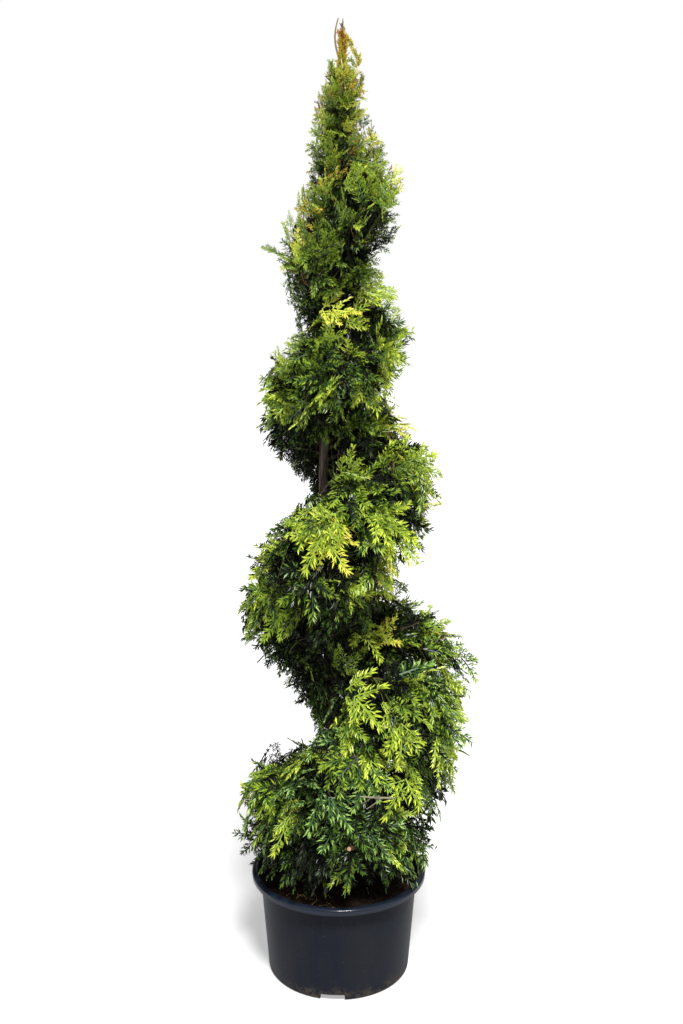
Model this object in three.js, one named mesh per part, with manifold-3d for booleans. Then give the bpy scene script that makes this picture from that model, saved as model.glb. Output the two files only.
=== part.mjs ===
// A conifer clipped into a rising spiral, growing in a round nursery pot.
//
// Frame: millimetres, +Z up, origin at the centre of the pot's underside, -Y towards the front.
// The pot is filled with potting soil, and one tapering trunk stands on the soil and runs up through
// the whole crown. The crown is a cone with one helical groove cut into it, so what is left is a
// ribbon of foliage that climbs anticlockwise, seen from above. The ribbon is divided into masses
// along its length. Each mass is a short stem beside the trunk, a clipped core, and flat sprays
// that stand out of the core to the clipped outline.
import * as THREE from 'three';
import { mergeVertices } from 'three/addons/utils/BufferGeometryUtils.js';
import Module from 'manifold-3d';

const wasm = await Module();
wasm.setup();

// ---------------------------------------------------------------- driving dimensions

const GAP = 0.3; // clearance between neighbouring solids
const WELD = 1e-3; // points closer than this are one

const POT = {
  height: 202,
  topRadius: 153, // outside of the wall under the rim
  baseRadius: 138, // outside of the wall at the foot ring
  wall: 3,
  cornerRadius: 5, // rounding between wall and foot ring
  cornerSteps: 3,
  footRing: 13, // width of the ring that the pot stands on
  footHeight: 12.5, // the floor of the pot is raised by this much
  footSlope: 3, // run of the slope between a foot and the raised floor
  centreFoot: 32, // radius of the foot in the middle
  segments: 40,
};
const RIM = {
  radius: 170, // over the roll
  drop: 13, // height of the roll
  width: 12, // of its top
  outerRound: 5, // rounding of the roll's upper edge
  outerDrop: 4,
  lowerRound: 2, // and of its lower edge
  innerDrop: 8, // the roll meets the inside of the wall this far down
};
const NOTCH = { count: 3, firstDeg: 265.4, width: 42, height: 12, depth: 20, outside: 4 };
const DRAIN = { count: 6, radius: 6, ring: 82, sides: 6 };

const SOIL_TOP = 182;
const SOIL_FOOT_DRAFT = 1; // extra space round the soil's lower edge

const TRUNK = {
  baseRadius: 18,
  tipRadius: 1.6,
  flare: 7, // extra radius at the ground
  flareHeight: 45,
  top: 1773,
  lean: 27, // bow to the left
  leanHeight: 985, // where the bow is widest
  tipShift: 8, // the leader stands to the right of the root by this much
  tipShiftFrom: 1400,
  sides: 8,
  rings: 26,
  crowding: 1.15, // rings lie closer together near the flare
};
const SIDE_LEADER = {
  from: 1672,
  to: 1768,
  offset: 14,
  curl: 0.8, // of half a turn: how far it bends back to the leader
  baseRadius: 2.4,
  tipRadius: 1.3,
  sides: 6,
  rings: 4,
};

// The groove's height at every half turn, from the right-hand side on.
const GROOVE_HEIGHTS = [454, 428, 755, 925, 1109, 1242, 1326, 1501, 1610, 1705];
// How much wider than the cone the ribbon is clipped at every half turn, from its start on.
const RIBBON_GIRTHS = [-18, -3, 1, -8, 15, -1, -5, -4, 9, -15, 1, -2];
const GROOVE = {
  startsDeg: 20, // no groove before this angle
  fullDeg: 150, // cut to the full depth from here
  fadesDeg: 1370, // starts to fade out near the top
  endsDeg: 1600,
  widening: 4.3, // how wide the groove is
  above: 2.1, // how steep the ribbon's underside is, over a groove
  below: 7.9, // how steep the ribbon's top is, under a groove
};

// The cone that the crown is clipped to, and the column that the groove leaves round the trunk.
const CROWN = {
  bottom: 212,
  top: 1750,
  radius: 207,
  shoulder: 608, // the cone narrows from here up
  taper: 0.61,
  least: 10, // the radius never falls under this
  tuck: 0.02, // how fast it draws in below the shoulder
  centre: 3,
  bulge: 47, // how far it stands off to the right
  bulgeHeight: 540,
  bulgeSpread: 126,
  secondBulge: 13, // and a little again near the top
  secondHeight: 1515,
  secondSpread: 75,
  undersideEdge: 7,
  undersideRound: 3,
};
const COLUMN = { radius: 72, ofCone: 0.61, shift: 35, shiftUntil: 950, straightFrom: 1300 };
const BARE = { towardsDeg: 250, spreadDeg: 42, height: 1000, spread: 48 }; // the trunk shows here
// Two waves of lumps over the clipped surface: waves in a turn, and rise over one radian.
const LUMPS = { depth: 0.035, round: 5, rise: 47, second: 11, secondRise: 29 };

const MASS = {
  firstDeg: -360,
  lastDeg: 1620,
  wideTurnsTo: 720,
  wideCount: 13, // masses on the wide turns
  narrowCount: 7, // and on the narrow turns
  core: 0.57, // the core's reach as a share of the clipped outline
  coreEdge: 0.04, // share of the ribbon's height left above and below the core
  coreInTrunk: 0.5, // the core is built from inside the trunk and then cut clear of it
  coreLeast: 2, // least thickness of the core's slices
  coreStepDeg: 30,
  coreSide: 5, // points on the outer side of a core's section
  coreTop: 40, // the cores end this far under the top of the crown
  between: 1.6, // half the space between neighbouring masses
  trunkSpace: 3,
  stemRadius: 5,
  stemOfReach: 0.12, // thinner where the ribbon is narrow
  stemTaper: 0.6,
  stemLength: 0.5, // of the reach
  stemSides: 6,
};

const SPRAY = {
  total: 435,
  root: 0.46, // the root's place as a share of the reach
  rootEdge: 0.2, // share of the ribbon's height above and below the roots
  gather: 0.75, // roots crowd towards the middle of the ribbon
  driftDeg: 8, // how far round the trunk a spray wanders
  driftHeight: 14,
  rise: 45, // roots lie lower than their tips near the top of the crown
  riseFrom: 1450,
  riseTo: 1650,
  width: 0.62, // of the length
  widest: 50,
  narrowing: 0.5, // near the top of the crown
  thickness: 0.045, // of the length
  shoulder: 0.76, // where along the length it is widest
  past: 0.09, // how far some tips pass the clipped outline
  turning: 1.1, // how far sprays turn out of the upright plane
  overTrunk: 4, // tips stay this far outside the trunk's space
  tries: 16,
};
const SEED = 20417;

// ---------------------------------------------------------------- small tools

const rad = THREE.MathUtils.degToRad;
const { clamp, lerp, smoothstep } = THREE.MathUtils;

/** Seeded random numbers from 0 to 1, the same on every run. */
function randomFrom(seed) {
  let state = seed >>> 0;
  return () => {
    state = (state + 0x6d2b79f5) >>> 0;
    let t = state;
    t = Math.imul(t ^ (t >>> 15), t | 1);
    t ^= t + Math.imul(t ^ (t >>> 7), t | 61);
    return ((t ^ (t >>> 14)) >>> 0) / 4294967296;
  };
}

/** A manifold solid from points ([x, y, z] each) and triangles of their numbers. */
function solidFrom(points, triangles) {
  return new wasm.Manifold(
    new wasm.Mesh({
      numProp: 3,
      vertProperties: new Float32Array(points.flat()),
      triVerts: new Uint32Array(triangles.flat()),
    }),
  );
}

/** A manifold solid from a three.js geometry. */
function solidOf(geometry) {
  const bare = geometry.clone();
  bare.deleteAttribute('normal');
  bare.deleteAttribute('uv');
  const merged = mergeVertices(bare, WELD);
  const index = merged.index.array;
  const kept = [];
  for (let i = 0; i < index.length; i += 3) {
    const [a, b, c] = [index[i], index[i + 1], index[i + 2]];
    if (a !== b && b !== c && a !== c) kept.push(a, b, c);
  }
  return new wasm.Manifold(
    new wasm.Mesh({
      numProp: 3,
      vertProperties: merged.attributes.position.array,
      triVerts: new Uint32Array(kept),
    }),
  );
}

/** A three.js geometry from a manifold solid. */
function geometryOf(solid) {
  const mesh = solid.getMesh();
  const positions = new Float32Array(mesh.numVert * 3);
  for (let i = 0; i < mesh.numVert; i++) {
    positions.set(mesh.vertProperties.subarray(i * mesh.numProp, i * mesh.numProp + 3), i * 3);
  }
  const geometry = new THREE.BufferGeometry();
  geometry.setAttribute('position', new THREE.BufferAttribute(positions, 3));
  geometry.setIndex(new THREE.BufferAttribute(mesh.triVerts, 1));
  geometry.computeVertexNormals();
  return geometry;
}

/** The largest body of a solid, without loose scraps or sealed hollows. */
function largestBody(solid) {
  const bodies = solidOf(geometryOf(solid)).decompose();
  return bodies.sort((a, b) => b.volume() - a.volume())[0];
}

/** Closes a stack of equal rings of points into a solid with a flat fan at each end. */
function loft(rings) {
  const sides = rings[0].length;
  const points = rings.flat();
  const triangles = [];
  for (let k = 0; k + 1 < rings.length; k++) {
    for (let i = 0; i < sides; i++) {
      const a = k * sides + i;
      const b = k * sides + ((i + 1) % sides);
      triangles.push([a, b, b + sides], [a, b + sides, a + sides]);
    }
  }
  const last = (rings.length - 1) * sides;
  for (let i = 1; i + 1 < sides; i++) {
    triangles.push([0, i + 1, i], [last, last + i, last + i + 1]);
  }
  return solidFrom(points, triangles);
}

/** A horizontal ring of points round a centre. */
function ring(x, y, z, radius, sides) {
  return Array.from({ length: sides }, (_, i) => {
    const turn = (2 * Math.PI * i) / sides;
    return [x + radius * Math.cos(turn), y + radius * Math.sin(turn), z];
  });
}

/** A solid turned about the vertical axis from a profile of [radius, height] points. */
function turned(profile, segments) {
  const lathe = new THREE.LatheGeometry(
    profile.map(([r, z]) => new THREE.Vector2(r, z)),
    segments,
  );
  return solidOf(lathe.rotateX(Math.PI / 2));
}

// ---------------------------------------------------------------- pot and soil

/** Outside radius of the pot's wall at a height. */
function wallRadius(z) {
  return lerp(POT.baseRadius, POT.topRadius, z / (POT.height - RIM.drop));
}

/** The pot's section from the middle of its underside, out and up the wall, and back inside. */
function potProfile() {
  const { height, wall, cornerRadius, cornerSteps, footHeight, footSlope, centreFoot } = POT;
  const ringInside = POT.baseRadius - POT.footRing;
  const corner = Array.from({ length: cornerSteps + 1 }, (_, i) => {
    const turn = ((i / cornerSteps) * Math.PI) / 2;
    const outside = wallRadius(cornerRadius) - cornerRadius;
    return [outside + cornerRadius * Math.sin(turn), cornerRadius * (1 - Math.cos(turn))];
  });
  const rimUnder = height - RIM.drop;
  const rimInside = height - RIM.innerDrop;
  const floorTop = footHeight + wall;
  return [
    [0, 0],
    [centreFoot, 0],
    [centreFoot + footSlope, footHeight],
    [ringInside - footSlope, footHeight],
    [ringInside, 0],
    ...corner,
    [wallRadius(rimUnder), rimUnder],
    [RIM.radius - RIM.lowerRound, rimUnder],
    [RIM.radius, rimUnder + RIM.lowerRound],
    [RIM.radius, height - RIM.outerDrop],
    [RIM.radius - RIM.outerRound, height],
    [RIM.radius - RIM.width, height],
    [wallRadius(rimInside) - wall, rimInside],
    [wallRadius(floorTop) - wall, floorTop],
    [0, floorTop],
  ];
}

/** The pot: tapered wall, rolled rim, raised floor with drain holes, notched foot ring. */
function potSolid() {
  let pot = turned(potProfile(), POT.segments);
  for (let i = 0; i < NOTCH.count; i++) {
    const notch = new THREE.BoxGeometry(NOTCH.depth, NOTCH.width, 2 * NOTCH.height);
    notch.translate(POT.baseRadius - NOTCH.depth / 2 + NOTCH.outside, 0, 0);
    notch.rotateZ(rad(NOTCH.firstDeg + (360 / NOTCH.count) * i));
    pot = pot.subtract(solidOf(notch));
  }
  for (let i = 0; i < DRAIN.count; i++) {
    const length = 4 * (POT.footHeight + POT.wall);
    const drain = new THREE.CylinderGeometry(DRAIN.radius, DRAIN.radius, length, DRAIN.sides);
    drain.rotateX(Math.PI / 2).translate(DRAIN.ring, 0, 0);
    drain.rotateZ(rad(NOTCH.firstDeg + (360 / DRAIN.count) * (i + 0.5)));
    pot = pot.subtract(solidOf(drain));
  }
  return pot;
}

/** The potting soil that fills the pot to just under its rim. */
function soilSolid() {
  const floorTop = POT.footHeight + POT.wall;
  return turned(
    [
      [0, floorTop],
      [wallRadius(floorTop) - POT.wall - GAP - SOIL_FOOT_DRAFT, floorTop],
      [wallRadius(SOIL_TOP) - POT.wall - GAP, SOIL_TOP],
      [0, SOIL_TOP],
    ],
    POT.segments,
  );
}

// ---------------------------------------------------------------- the shape of the crown

/** A smooth curve through the values at every half turn, read at an angle past the first one. */
function throughHalfTurns(values, angle) {
  const place = clamp(angle / 180, 0, values.length - 1);
  const i = Math.min(Math.floor(place), values.length - 2);
  const at = (k) => values[clamp(k, 0, values.length - 1)];
  const t = place - i;
  const slopeIn = (at(i + 1) - at(i - 1)) / 2;
  const slopeOut = (at(i + 2) - at(i)) / 2;
  const rise = at(i + 1) - at(i);
  return at(i) + slopeIn * t + (3 * rise - 2 * slopeIn - slopeOut) * t * t
    + (slopeIn + slopeOut - 2 * rise) * t * t * t;
}

/** Height of the groove at an angle in degrees that counts on from turn to turn. */
function grooveHeight(angle) {
  return throughHalfTurns(GROOVE_HEIGHTS, angle);
}

/** How deep the groove is cut at an angle, from 0 to 1. */
function grooveDepth(angle) {
  return smoothstep(angle, GROOVE.startsDeg, GROOVE.fullDeg)
    * (1 - smoothstep(angle, GROOVE.fadesDeg, GROOVE.endsDeg));
}

/** Centre of the trunk at a height: a slow bow to the left, back to the middle at the top. */
function trunkCentre(z) {
  const up = clamp((z - SOIL_TOP) / (TRUNK.leanHeight - SOIL_TOP), 0, 1);
  const down = clamp((z - TRUNK.leanHeight) / (TRUNK.top - TRUNK.leanHeight), 0, 1);
  const bow = Math.sin((up * Math.PI) / 2) ** 2 * Math.cos((down * Math.PI) / 2) ** 2;
  return TRUNK.tipShift * smoothstep(z, TRUNK.tipShiftFrom, TRUNK.top) - TRUNK.lean * bow;
}

/** Radius of the trunk at a height, with the flare at its root. */
function trunkRadius(z) {
  const share = (z - SOIL_TOP) / (TRUNK.top - SOIL_TOP);
  const flare = Math.max(0, 1 - (z - SOIL_TOP) / TRUNK.flareHeight);
  return lerp(TRUNK.baseRadius, TRUNK.tipRadius, share) + TRUNK.flare * flare * flare;
}

/** A smooth hump of height 1 at a place, falling off over a spread. */
function hump(z, place, spread) {
  return Math.exp(-(((z - place) / spread) ** 2));
}

/** Radius of the whole clipped cone at a height. */
function coneRadius(z) {
  const share = clamp((z - CROWN.shoulder) / (CROWN.top - CROWN.shoulder), 0, 1);
  return CROWN.radius * (1 - share) ** CROWN.taper - CROWN.tuck * Math.max(0, CROWN.shoulder - z);
}

/** Distance from the trunk's centre to a circle round [centre, 0], in a direction. */
function distanceTo(centre, radius, angle, z) {
  const offset = trunkCentre(z) - centre;
  const along = offset * Math.cos(rad(angle));
  return Math.sqrt(Math.max(0, along * along - offset * offset + radius * radius)) - along;
}

/** Lowest and highest height of the ribbon at an angle. */
function ribbonSpan(angle) {
  const low = angle < 0 ? CROWN.bottom : grooveHeight(angle);
  const high = angle + 360 > MASS.lastDeg ? CROWN.top : grooveHeight(angle + 360);
  return [low, high];
}

/** How far the ribbon swells from the column (0) to the cone (1) at an angle and a height. */
function swell(angle, z) {
  const [low, high] = ribbonSpan(angle);
  const place = clamp((2 * (z - low)) / (high - low) - 1, -1, 1);
  if (place < 0 && angle < 0) {
    return (1 - Math.abs(place) ** CROWN.undersideEdge) ** (1 / CROWN.undersideRound);
  }
  const depth = grooveDepth(place < 0 ? angle : angle + 360);
  const steepness = place < 0 ? GROOVE.above : GROOVE.below;
  return lerp(1, (1 - Math.abs(place) ** steepness) ** GROOVE.widening, depth);
}

/** Distance from the trunk's centre to the clipped outline of the ribbon. */
function reach(angle, z) {
  const stand = CROWN.centre + CROWN.bulge * hump(z, CROWN.bulgeHeight, CROWN.bulgeSpread)
    + CROWN.secondBulge * hump(z, CROWN.secondHeight, CROWN.secondSpread);
  const girth = throughHalfTurns(RIBBON_GIRTHS, angle - MASS.firstDeg);
  const clipped = Math.max(CROWN.least, coneRadius(z) + girth);
  const cone = distanceTo(stand, clipped, angle, z);
  const middle = COLUMN.shift * (1 - smoothstep(z, COLUMN.shiftUntil, COLUMN.straightFrom));
  const radius = Math.min(COLUMN.radius, COLUMN.ofCone * coneRadius(z));
  const column = Math.min(distanceTo(middle, radius, angle, z), cone);
  const lumps = Math.sin(rad(angle) * LUMPS.round + z / LUMPS.rise)
    + Math.sin(rad(angle) * LUMPS.second - z / LUMPS.secondRise);
  const away = Math.abs(THREE.MathUtils.euclideanModulo(angle - BARE.towardsDeg + 180, 360) - 180);
  const cover = 1 - hump(away, 0, BARE.spreadDeg) * hump(z, BARE.height, BARE.spread);
  return lerp(column * cover, cone, swell(angle, z)) * (1 + LUMPS.depth * lumps);
}

/** The point in a direction at a distance from the trunk's centre. */
function pointAt(angle, z, distance) {
  return new THREE.Vector3(
    trunkCentre(z) + distance * Math.cos(rad(angle)),
    distance * Math.sin(rad(angle)),
    z,
  );
}

// ---------------------------------------------------------------- trunk

/** The trunk from its flat cut on the soil to its tip, with a second leader, grown by a margin. */
function trunkSolid(margin) {
  const rings = [];
  for (let k = 0; k <= TRUNK.rings; k++) {
    const z = lerp(SOIL_TOP, TRUNK.top, (k / TRUNK.rings) ** TRUNK.crowding);
    rings.push(ring(trunkCentre(z), 0, z, trunkRadius(z) + margin, TRUNK.sides));
  }
  const side = [];
  for (let k = 0; k <= SIDE_LEADER.rings; k++) {
    const share = k / SIDE_LEADER.rings;
    const z = lerp(SIDE_LEADER.from, SIDE_LEADER.to, share);
    const away = SIDE_LEADER.offset * Math.sin(Math.PI * SIDE_LEADER.curl * share);
    const radius = lerp(SIDE_LEADER.baseRadius, SIDE_LEADER.tipRadius, share) + margin;
    side.push(ring(trunkCentre(z) - away, 0, z, radius, SIDE_LEADER.sides));
  }
  return loft(rings).add(loft(side));
}

// ---------------------------------------------------------------- foliage masses

/** The angles at which one mass ends and the next begins. */
function massAngles() {
  const angles = [];
  for (let i = 0; i < MASS.wideCount; i++) {
    angles.push(lerp(MASS.firstDeg, MASS.wideTurnsTo, i / MASS.wideCount));
  }
  for (let i = 0; i <= MASS.narrowCount; i++) {
    angles.push(lerp(MASS.wideTurnsTo, MASS.lastDeg, i / MASS.narrowCount));
  }
  return angles;
}

/** True if a point lies in the space of the mass between two angles, clear of the trunk. */
function inSpace(point, from, to) {
  const [x, y] = [point.x - trunkCentre(point.z), point.y];
  const distance = Math.hypot(x, y);
  if (distance < trunkRadius(point.z) + MASS.trunkSpace) return false;
  const middle = (from + to) / 2;
  let angle = THREE.MathUtils.radToDeg(Math.atan2(y, x));
  angle += 360 * Math.round((middle - angle) / 360);
  const margin = THREE.MathUtils.radToDeg(MASS.between / distance);
  if (angle < from + margin || angle > to - margin) return false;
  const [low, high] = ribbonSpan(angle);
  return point.z > low + MASS.between && point.z < high - MASS.between;
}

/** Lowest and highest height of a mass's core at an angle. */
function coreSpan(angle, edge) {
  const [low, high] = ribbonSpan(angle);
  const top = Math.min(high, CROWN.top - MASS.coreTop);
  return [lerp(low, top, edge), lerp(top, low, edge)];
}

/** The clipped core of a mass: sections like slices of the ribbon, lofted round the trunk. */
function coreSolid(from, to) {
  const count = Math.max(2, Math.round((to - from) / MASS.coreStepDeg));
  const sections = [];
  for (let k = 0; k <= count; k++) {
    const angle = lerp(from, to, k / count);
    const [low, high] = coreSpan(angle, MASS.coreEdge);
    const inner = (z) => MASS.coreInTrunk * trunkRadius(z);
    const section = [low, high].map((z) => pointAt(angle, z, inner(z)));
    for (let i = MASS.coreSide; i >= 0; i--) {
      const z = lerp(low, high, i / MASS.coreSide);
      const outer = Math.max(MASS.core * reach(angle, z), inner(z) + MASS.coreLeast);
      section.push(pointAt(angle, z, outer));
    }
    const inset = 2 * MASS.between * (k === 0 ? 1 : k === count ? -1 : 0);
    const round = new THREE.Vector3(-Math.sin(rad(angle)), Math.cos(rad(angle)), 0);
    sections.push(section.map((p) => p.addScaledVector(round, inset).toArray()));
  }
  return loft(sections);
}

/** The stem of a mass, from beside the trunk into its core. */
function stemSolid(from, to) {
  const angle = (from + to) / 2;
  const [low, high] = coreSpan(angle, MASS.coreEdge);
  const z = (low + high) / 2;
  const radius = Math.min(MASS.stemRadius, MASS.stemOfReach * reach(angle, z));
  const length = MASS.stemLength * reach(angle, z);
  const stem = new THREE.CylinderGeometry(MASS.stemTaper * radius, radius, length, MASS.stemSides);
  const start = pointAt(angle, z, 0);
  stem.rotateZ(-Math.PI / 2).translate(length / 2, 0, 0).rotateZ(rad(angle));
  return solidOf(stem.translate(start.x, start.y, start.z));
}

/** The corners of a flat spray: root, shoulder, tip, shoulder, and its midrib's two sides. */
function sprayCorners(root, tip, roll, breadth) {
  const length = root.distanceTo(tip);
  const along = tip.clone().sub(root).normalize();
  const across = new THREE.Vector3().crossVectors(along, roll).normalize();
  const face = new THREE.Vector3().crossVectors(along, across);
  const half = (breadth * Math.min(SPRAY.widest, SPRAY.width * length)) / 2;
  const thick = (SPRAY.thickness * length) / 2;
  const at = (share, side, rise) => root.clone().lerp(tip, share)
    .addScaledVector(across, side)
    .addScaledVector(face, rise);
  return [at(0, 0, 0), at(SPRAY.shoulder, half, 0), at(1, 0, 0), at(SPRAY.shoulder, -half, 0),
    at(SPRAY.shoulder, 0, thick), at(SPRAY.shoulder, 0, -thick)];
}

/** The eight-faced solid of a spray. */
function spraySolid(corners) {
  const faces = [];
  for (let i = 0; i < 4; i++) {
    const next = (i + 1) % 4;
    faces.push([i, next, 5], [next, i, 4]);
  }
  return solidFrom(corners.map((p) => p.toArray()), faces);
}

/** The sprays of a mass, spread evenly over its part of the outline, each rooted in the core. */
function sprays(from, to, count, random) {
  const made = [];
  const golden = (Math.sqrt(5) - 1) / 2;
  for (let k = 0; k < count; k++) {
    for (let attempt = 0; attempt < SPRAY.tries; attempt++) {
      const angle = lerp(from, to, ((k + random()) * golden) % 1);
      const [low, high] = ribbonSpan(angle);
      const share = (k + random()) / count;
      const z = lerp(low, high, share);
      const least = trunkRadius(z) + MASS.trunkSpace + SPRAY.overTrunk;
      const tip = pointAt(angle, z, Math.max(reach(angle, z) * (1 + SPRAY.past * random()), least));
      const rootAngle = clamp(angle + SPRAY.driftDeg * (2 * random() - 1), from, to);
      const [coreLow, coreHigh] = coreSpan(rootAngle, SPRAY.rootEdge);
      const gathered = lerp(coreLow, coreHigh, 0.5 + SPRAY.gather * (share - 0.5));
      const nearTop = smoothstep(z, SPRAY.riseFrom, SPRAY.riseTo);
      const drift = SPRAY.driftHeight * (2 * random() - 1);
      const rootHeight = clamp(gathered - SPRAY.rise * nearTop + drift, coreLow, coreHigh);
      const root = pointAt(rootAngle, rootHeight, SPRAY.root * reach(rootAngle, rootHeight));
      const roll = new THREE.Vector3(random() - 0.5, random() - 0.5, random() - 0.5)
        .multiplyScalar(SPRAY.turning)
        .add(new THREE.Vector3(-Math.sin(rad(angle)), Math.cos(rad(angle)), 0));
      const corners = sprayCorners(root, tip, roll, 1 - SPRAY.narrowing * nearTop);
      const middles = corners.slice(0, 4).map((p, i) => p.clone().lerp(corners[(i + 1) % 4], 0.5));
      if (![...corners, ...middles].every((p) => inSpace(p, from, to))) continue;
      made.push(spraySolid(corners));
      break;
    }
  }
  return made;
}

/** One mass of foliage: stem, core and sprays in one solid, clear of the trunk. */
function massSolid(from, to, count, spaces, random) {
  const core = coreSolid(from, to).subtract(spaces.core);
  const pieces = [core, stemSolid(from, to), ...sprays(from, to, count, random)];
  return largestBody(wasm.Manifold.union(pieces).subtract(spaces.stem));
}

/** A measure of how many sprays the ribbon needs between two angles: smaller ones lie closer. */
function sprayNeed(from, to) {
  const [stepDeg, rows] = [10, 8];
  let need = 0;
  for (let angle = from; angle < to; angle += stepDeg) {
    const [low, high] = ribbonSpan(angle);
    for (let i = 0; i < rows; i++) {
      need += (Math.sqrt(reach(angle, lerp(low, high, (i + 0.5) / rows))) * (high - low)) / rows;
    }
  }
  return need;
}

// ---------------------------------------------------------------- materials and assembly

const FINISH = {
  pot: new THREE.MeshStandardMaterial({ color: 0x2a2d33, roughness: 0.55, metalness: 0 }),
  soil: new THREE.MeshStandardMaterial({ color: 0x2b2119, roughness: 1, metalness: 0 }),
  bark: new THREE.MeshStandardMaterial({ color: 0x6d5a4b, roughness: 0.9, metalness: 0 }),
  foliage: new THREE.MeshStandardMaterial({ color: 0x5d8424, roughness: 0.7, metalness: 0 }),
};

/** A named mesh from a solid. */
function part(name, solid, finish) {
  const mesh = new THREE.Mesh(geometryOf(solid), finish);
  mesh.name = name;
  return mesh;
}

/** The whole plant in its pot. */
function plant() {
  const group = new THREE.Group();
  group.add(part('pot', potSolid(), FINISH.pot));
  group.add(part('soil', soilSolid(), FINISH.soil));
  group.add(part('trunk', trunkSolid(0), FINISH.bark));
  const angles = massAngles();
  const needs = angles.slice(1).map((to, i) => sprayNeed(angles[i], to));
  const whole = needs.reduce((sum, need) => sum + need, 0);
  const spaces = {
    core: trunkSolid(MASS.trunkSpace),
    stem: trunkSolid(GAP / Math.cos(Math.PI / TRUNK.sides)),
  };
  needs.forEach((need, i) => {
    const count = Math.round((SPRAY.total * need) / whole);
    const name = `foliage_${String(i + 1).padStart(2, '0')}`;
    const solid = massSolid(angles[i], angles[i + 1], count, spaces, randomFrom(SEED + i));
    group.add(part(name, solid, FINISH.foliage));
  });
  return group;
}

export default plant();
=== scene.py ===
"""A conifer clipped into a spiral, in its black nursery pot.

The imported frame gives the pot, the soil, the trunk and the masses of clipped
foliage at their real size.  This script stands the finished pieces there: a
moulded pot, a bed of crumbly soil, a trunk with its bark, and for each mass the
boughs, twigs and flat sprays of scale leaves that grow by the crown's own rule.
All lengths are in metres and all angles in degrees.
"""

import logging
import math
from collections.abc import Iterable, Mapping, Sequence
from dataclasses import dataclass, field
from enum import Enum
from itertools import pairwise, product

import bpy
import numpy as np
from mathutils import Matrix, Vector


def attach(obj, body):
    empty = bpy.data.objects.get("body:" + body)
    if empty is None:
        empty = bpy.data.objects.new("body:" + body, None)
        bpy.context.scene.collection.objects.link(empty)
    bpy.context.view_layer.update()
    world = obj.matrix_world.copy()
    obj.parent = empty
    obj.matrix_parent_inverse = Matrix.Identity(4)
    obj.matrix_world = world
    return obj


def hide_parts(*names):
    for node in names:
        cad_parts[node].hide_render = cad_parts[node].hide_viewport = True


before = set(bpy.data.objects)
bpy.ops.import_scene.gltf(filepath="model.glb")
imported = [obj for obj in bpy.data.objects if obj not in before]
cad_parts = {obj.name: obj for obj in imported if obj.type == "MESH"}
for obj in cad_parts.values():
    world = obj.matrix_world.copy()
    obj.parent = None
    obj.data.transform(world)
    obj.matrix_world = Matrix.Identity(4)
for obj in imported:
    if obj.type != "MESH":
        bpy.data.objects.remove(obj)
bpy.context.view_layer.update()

BODY = "root"
SEED = 20417
UP = np.array((0.0, 0.0, 1.0))

Array = np.ndarray
Pair = tuple[float, float]
Triple = tuple[float, float, float]
Mesh = tuple[Array, Array, Array]

log = logging.getLogger("topiary")


# ---------------------------------------------------------------- small tools


def linear(colour: str) -> tuple[float, float, float, float]:
    """Turns a written colour into the values that a shader takes.

    Args:
        colour: Six hexadecimal digits after a hash, as screens read them.

    Returns:
        Red, green, blue and an alpha of one, in linear light.
    """
    parts = (int(colour[i : i + 2], 16) / 255 for i in (1, 3, 5))
    red, green, blue = (p / 12.92 if p <= 0.04045 else ((p + 0.055) / 1.055) ** 2.4 for p in parts)
    return red, green, blue, 1.0


def smoothstep(value: Array, low: float, high: float) -> Array:
    """Rises smoothly from 0 at low to 1 at high.

    Args:
        value: Where to read the step.
        low: The place where it starts.
        high: The place where it ends.

    Returns:
        The height of the step at each value.
    """
    share = np.clip((value - low) / (high - low), 0, 1)
    return share * share * (3 - 2 * share)


def hump(value: Array, place: float, spread: float) -> Array:
    """Gives a round hump of height 1 at a place.

    Args:
        value: Where to read the hump.
        place: The middle of the hump.
        spread: How far it spreads to each side.

    Returns:
        The height of the hump at each value.
    """
    return np.exp(-(((value - place) / spread) ** 2))


def unit(vectors: Array) -> Array:
    """Scales vectors to a length of one.

    Args:
        vectors: Vectors in rows.

    Returns:
        The same directions, each with a length of one.
    """
    size = np.linalg.norm(vectors, axis=-1, keepdims=True)
    return vectors / np.maximum(size, 1e-9)


def square_to(vectors: Array, axes: Array) -> Array:
    """Drops the part of each vector that runs along an axis.

    Args:
        vectors: Vectors in rows.
        axes: The unit axes, in rows.

    Returns:
        Unit vectors square to the axes.
    """
    along = np.sum(vectors * axes, axis=-1, keepdims=True)
    return unit(vectors - along * axes)


def rolled(vectors: Array, axes: Array, degrees: Array) -> Array:
    """Turns vectors that are square to an axis round that axis.

    Args:
        vectors: Vectors in rows, square to their axes.
        axes: The unit axes, in rows.
        degrees: How far each vector turns.

    Returns:
        The turned vectors.
    """
    turn = np.radians(degrees)[..., None]
    return vectors * np.cos(turn) + np.cross(axes, vectors) * np.sin(turn)


def polar(radius: float, degrees: float) -> Pair:
    """Gives the x and y of a place at a distance and a direction from an axis."""
    turn = math.radians(degrees)
    return radius * math.cos(turn), radius * math.sin(turn)


# ------------------------------------------------------------ shader writing


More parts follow.
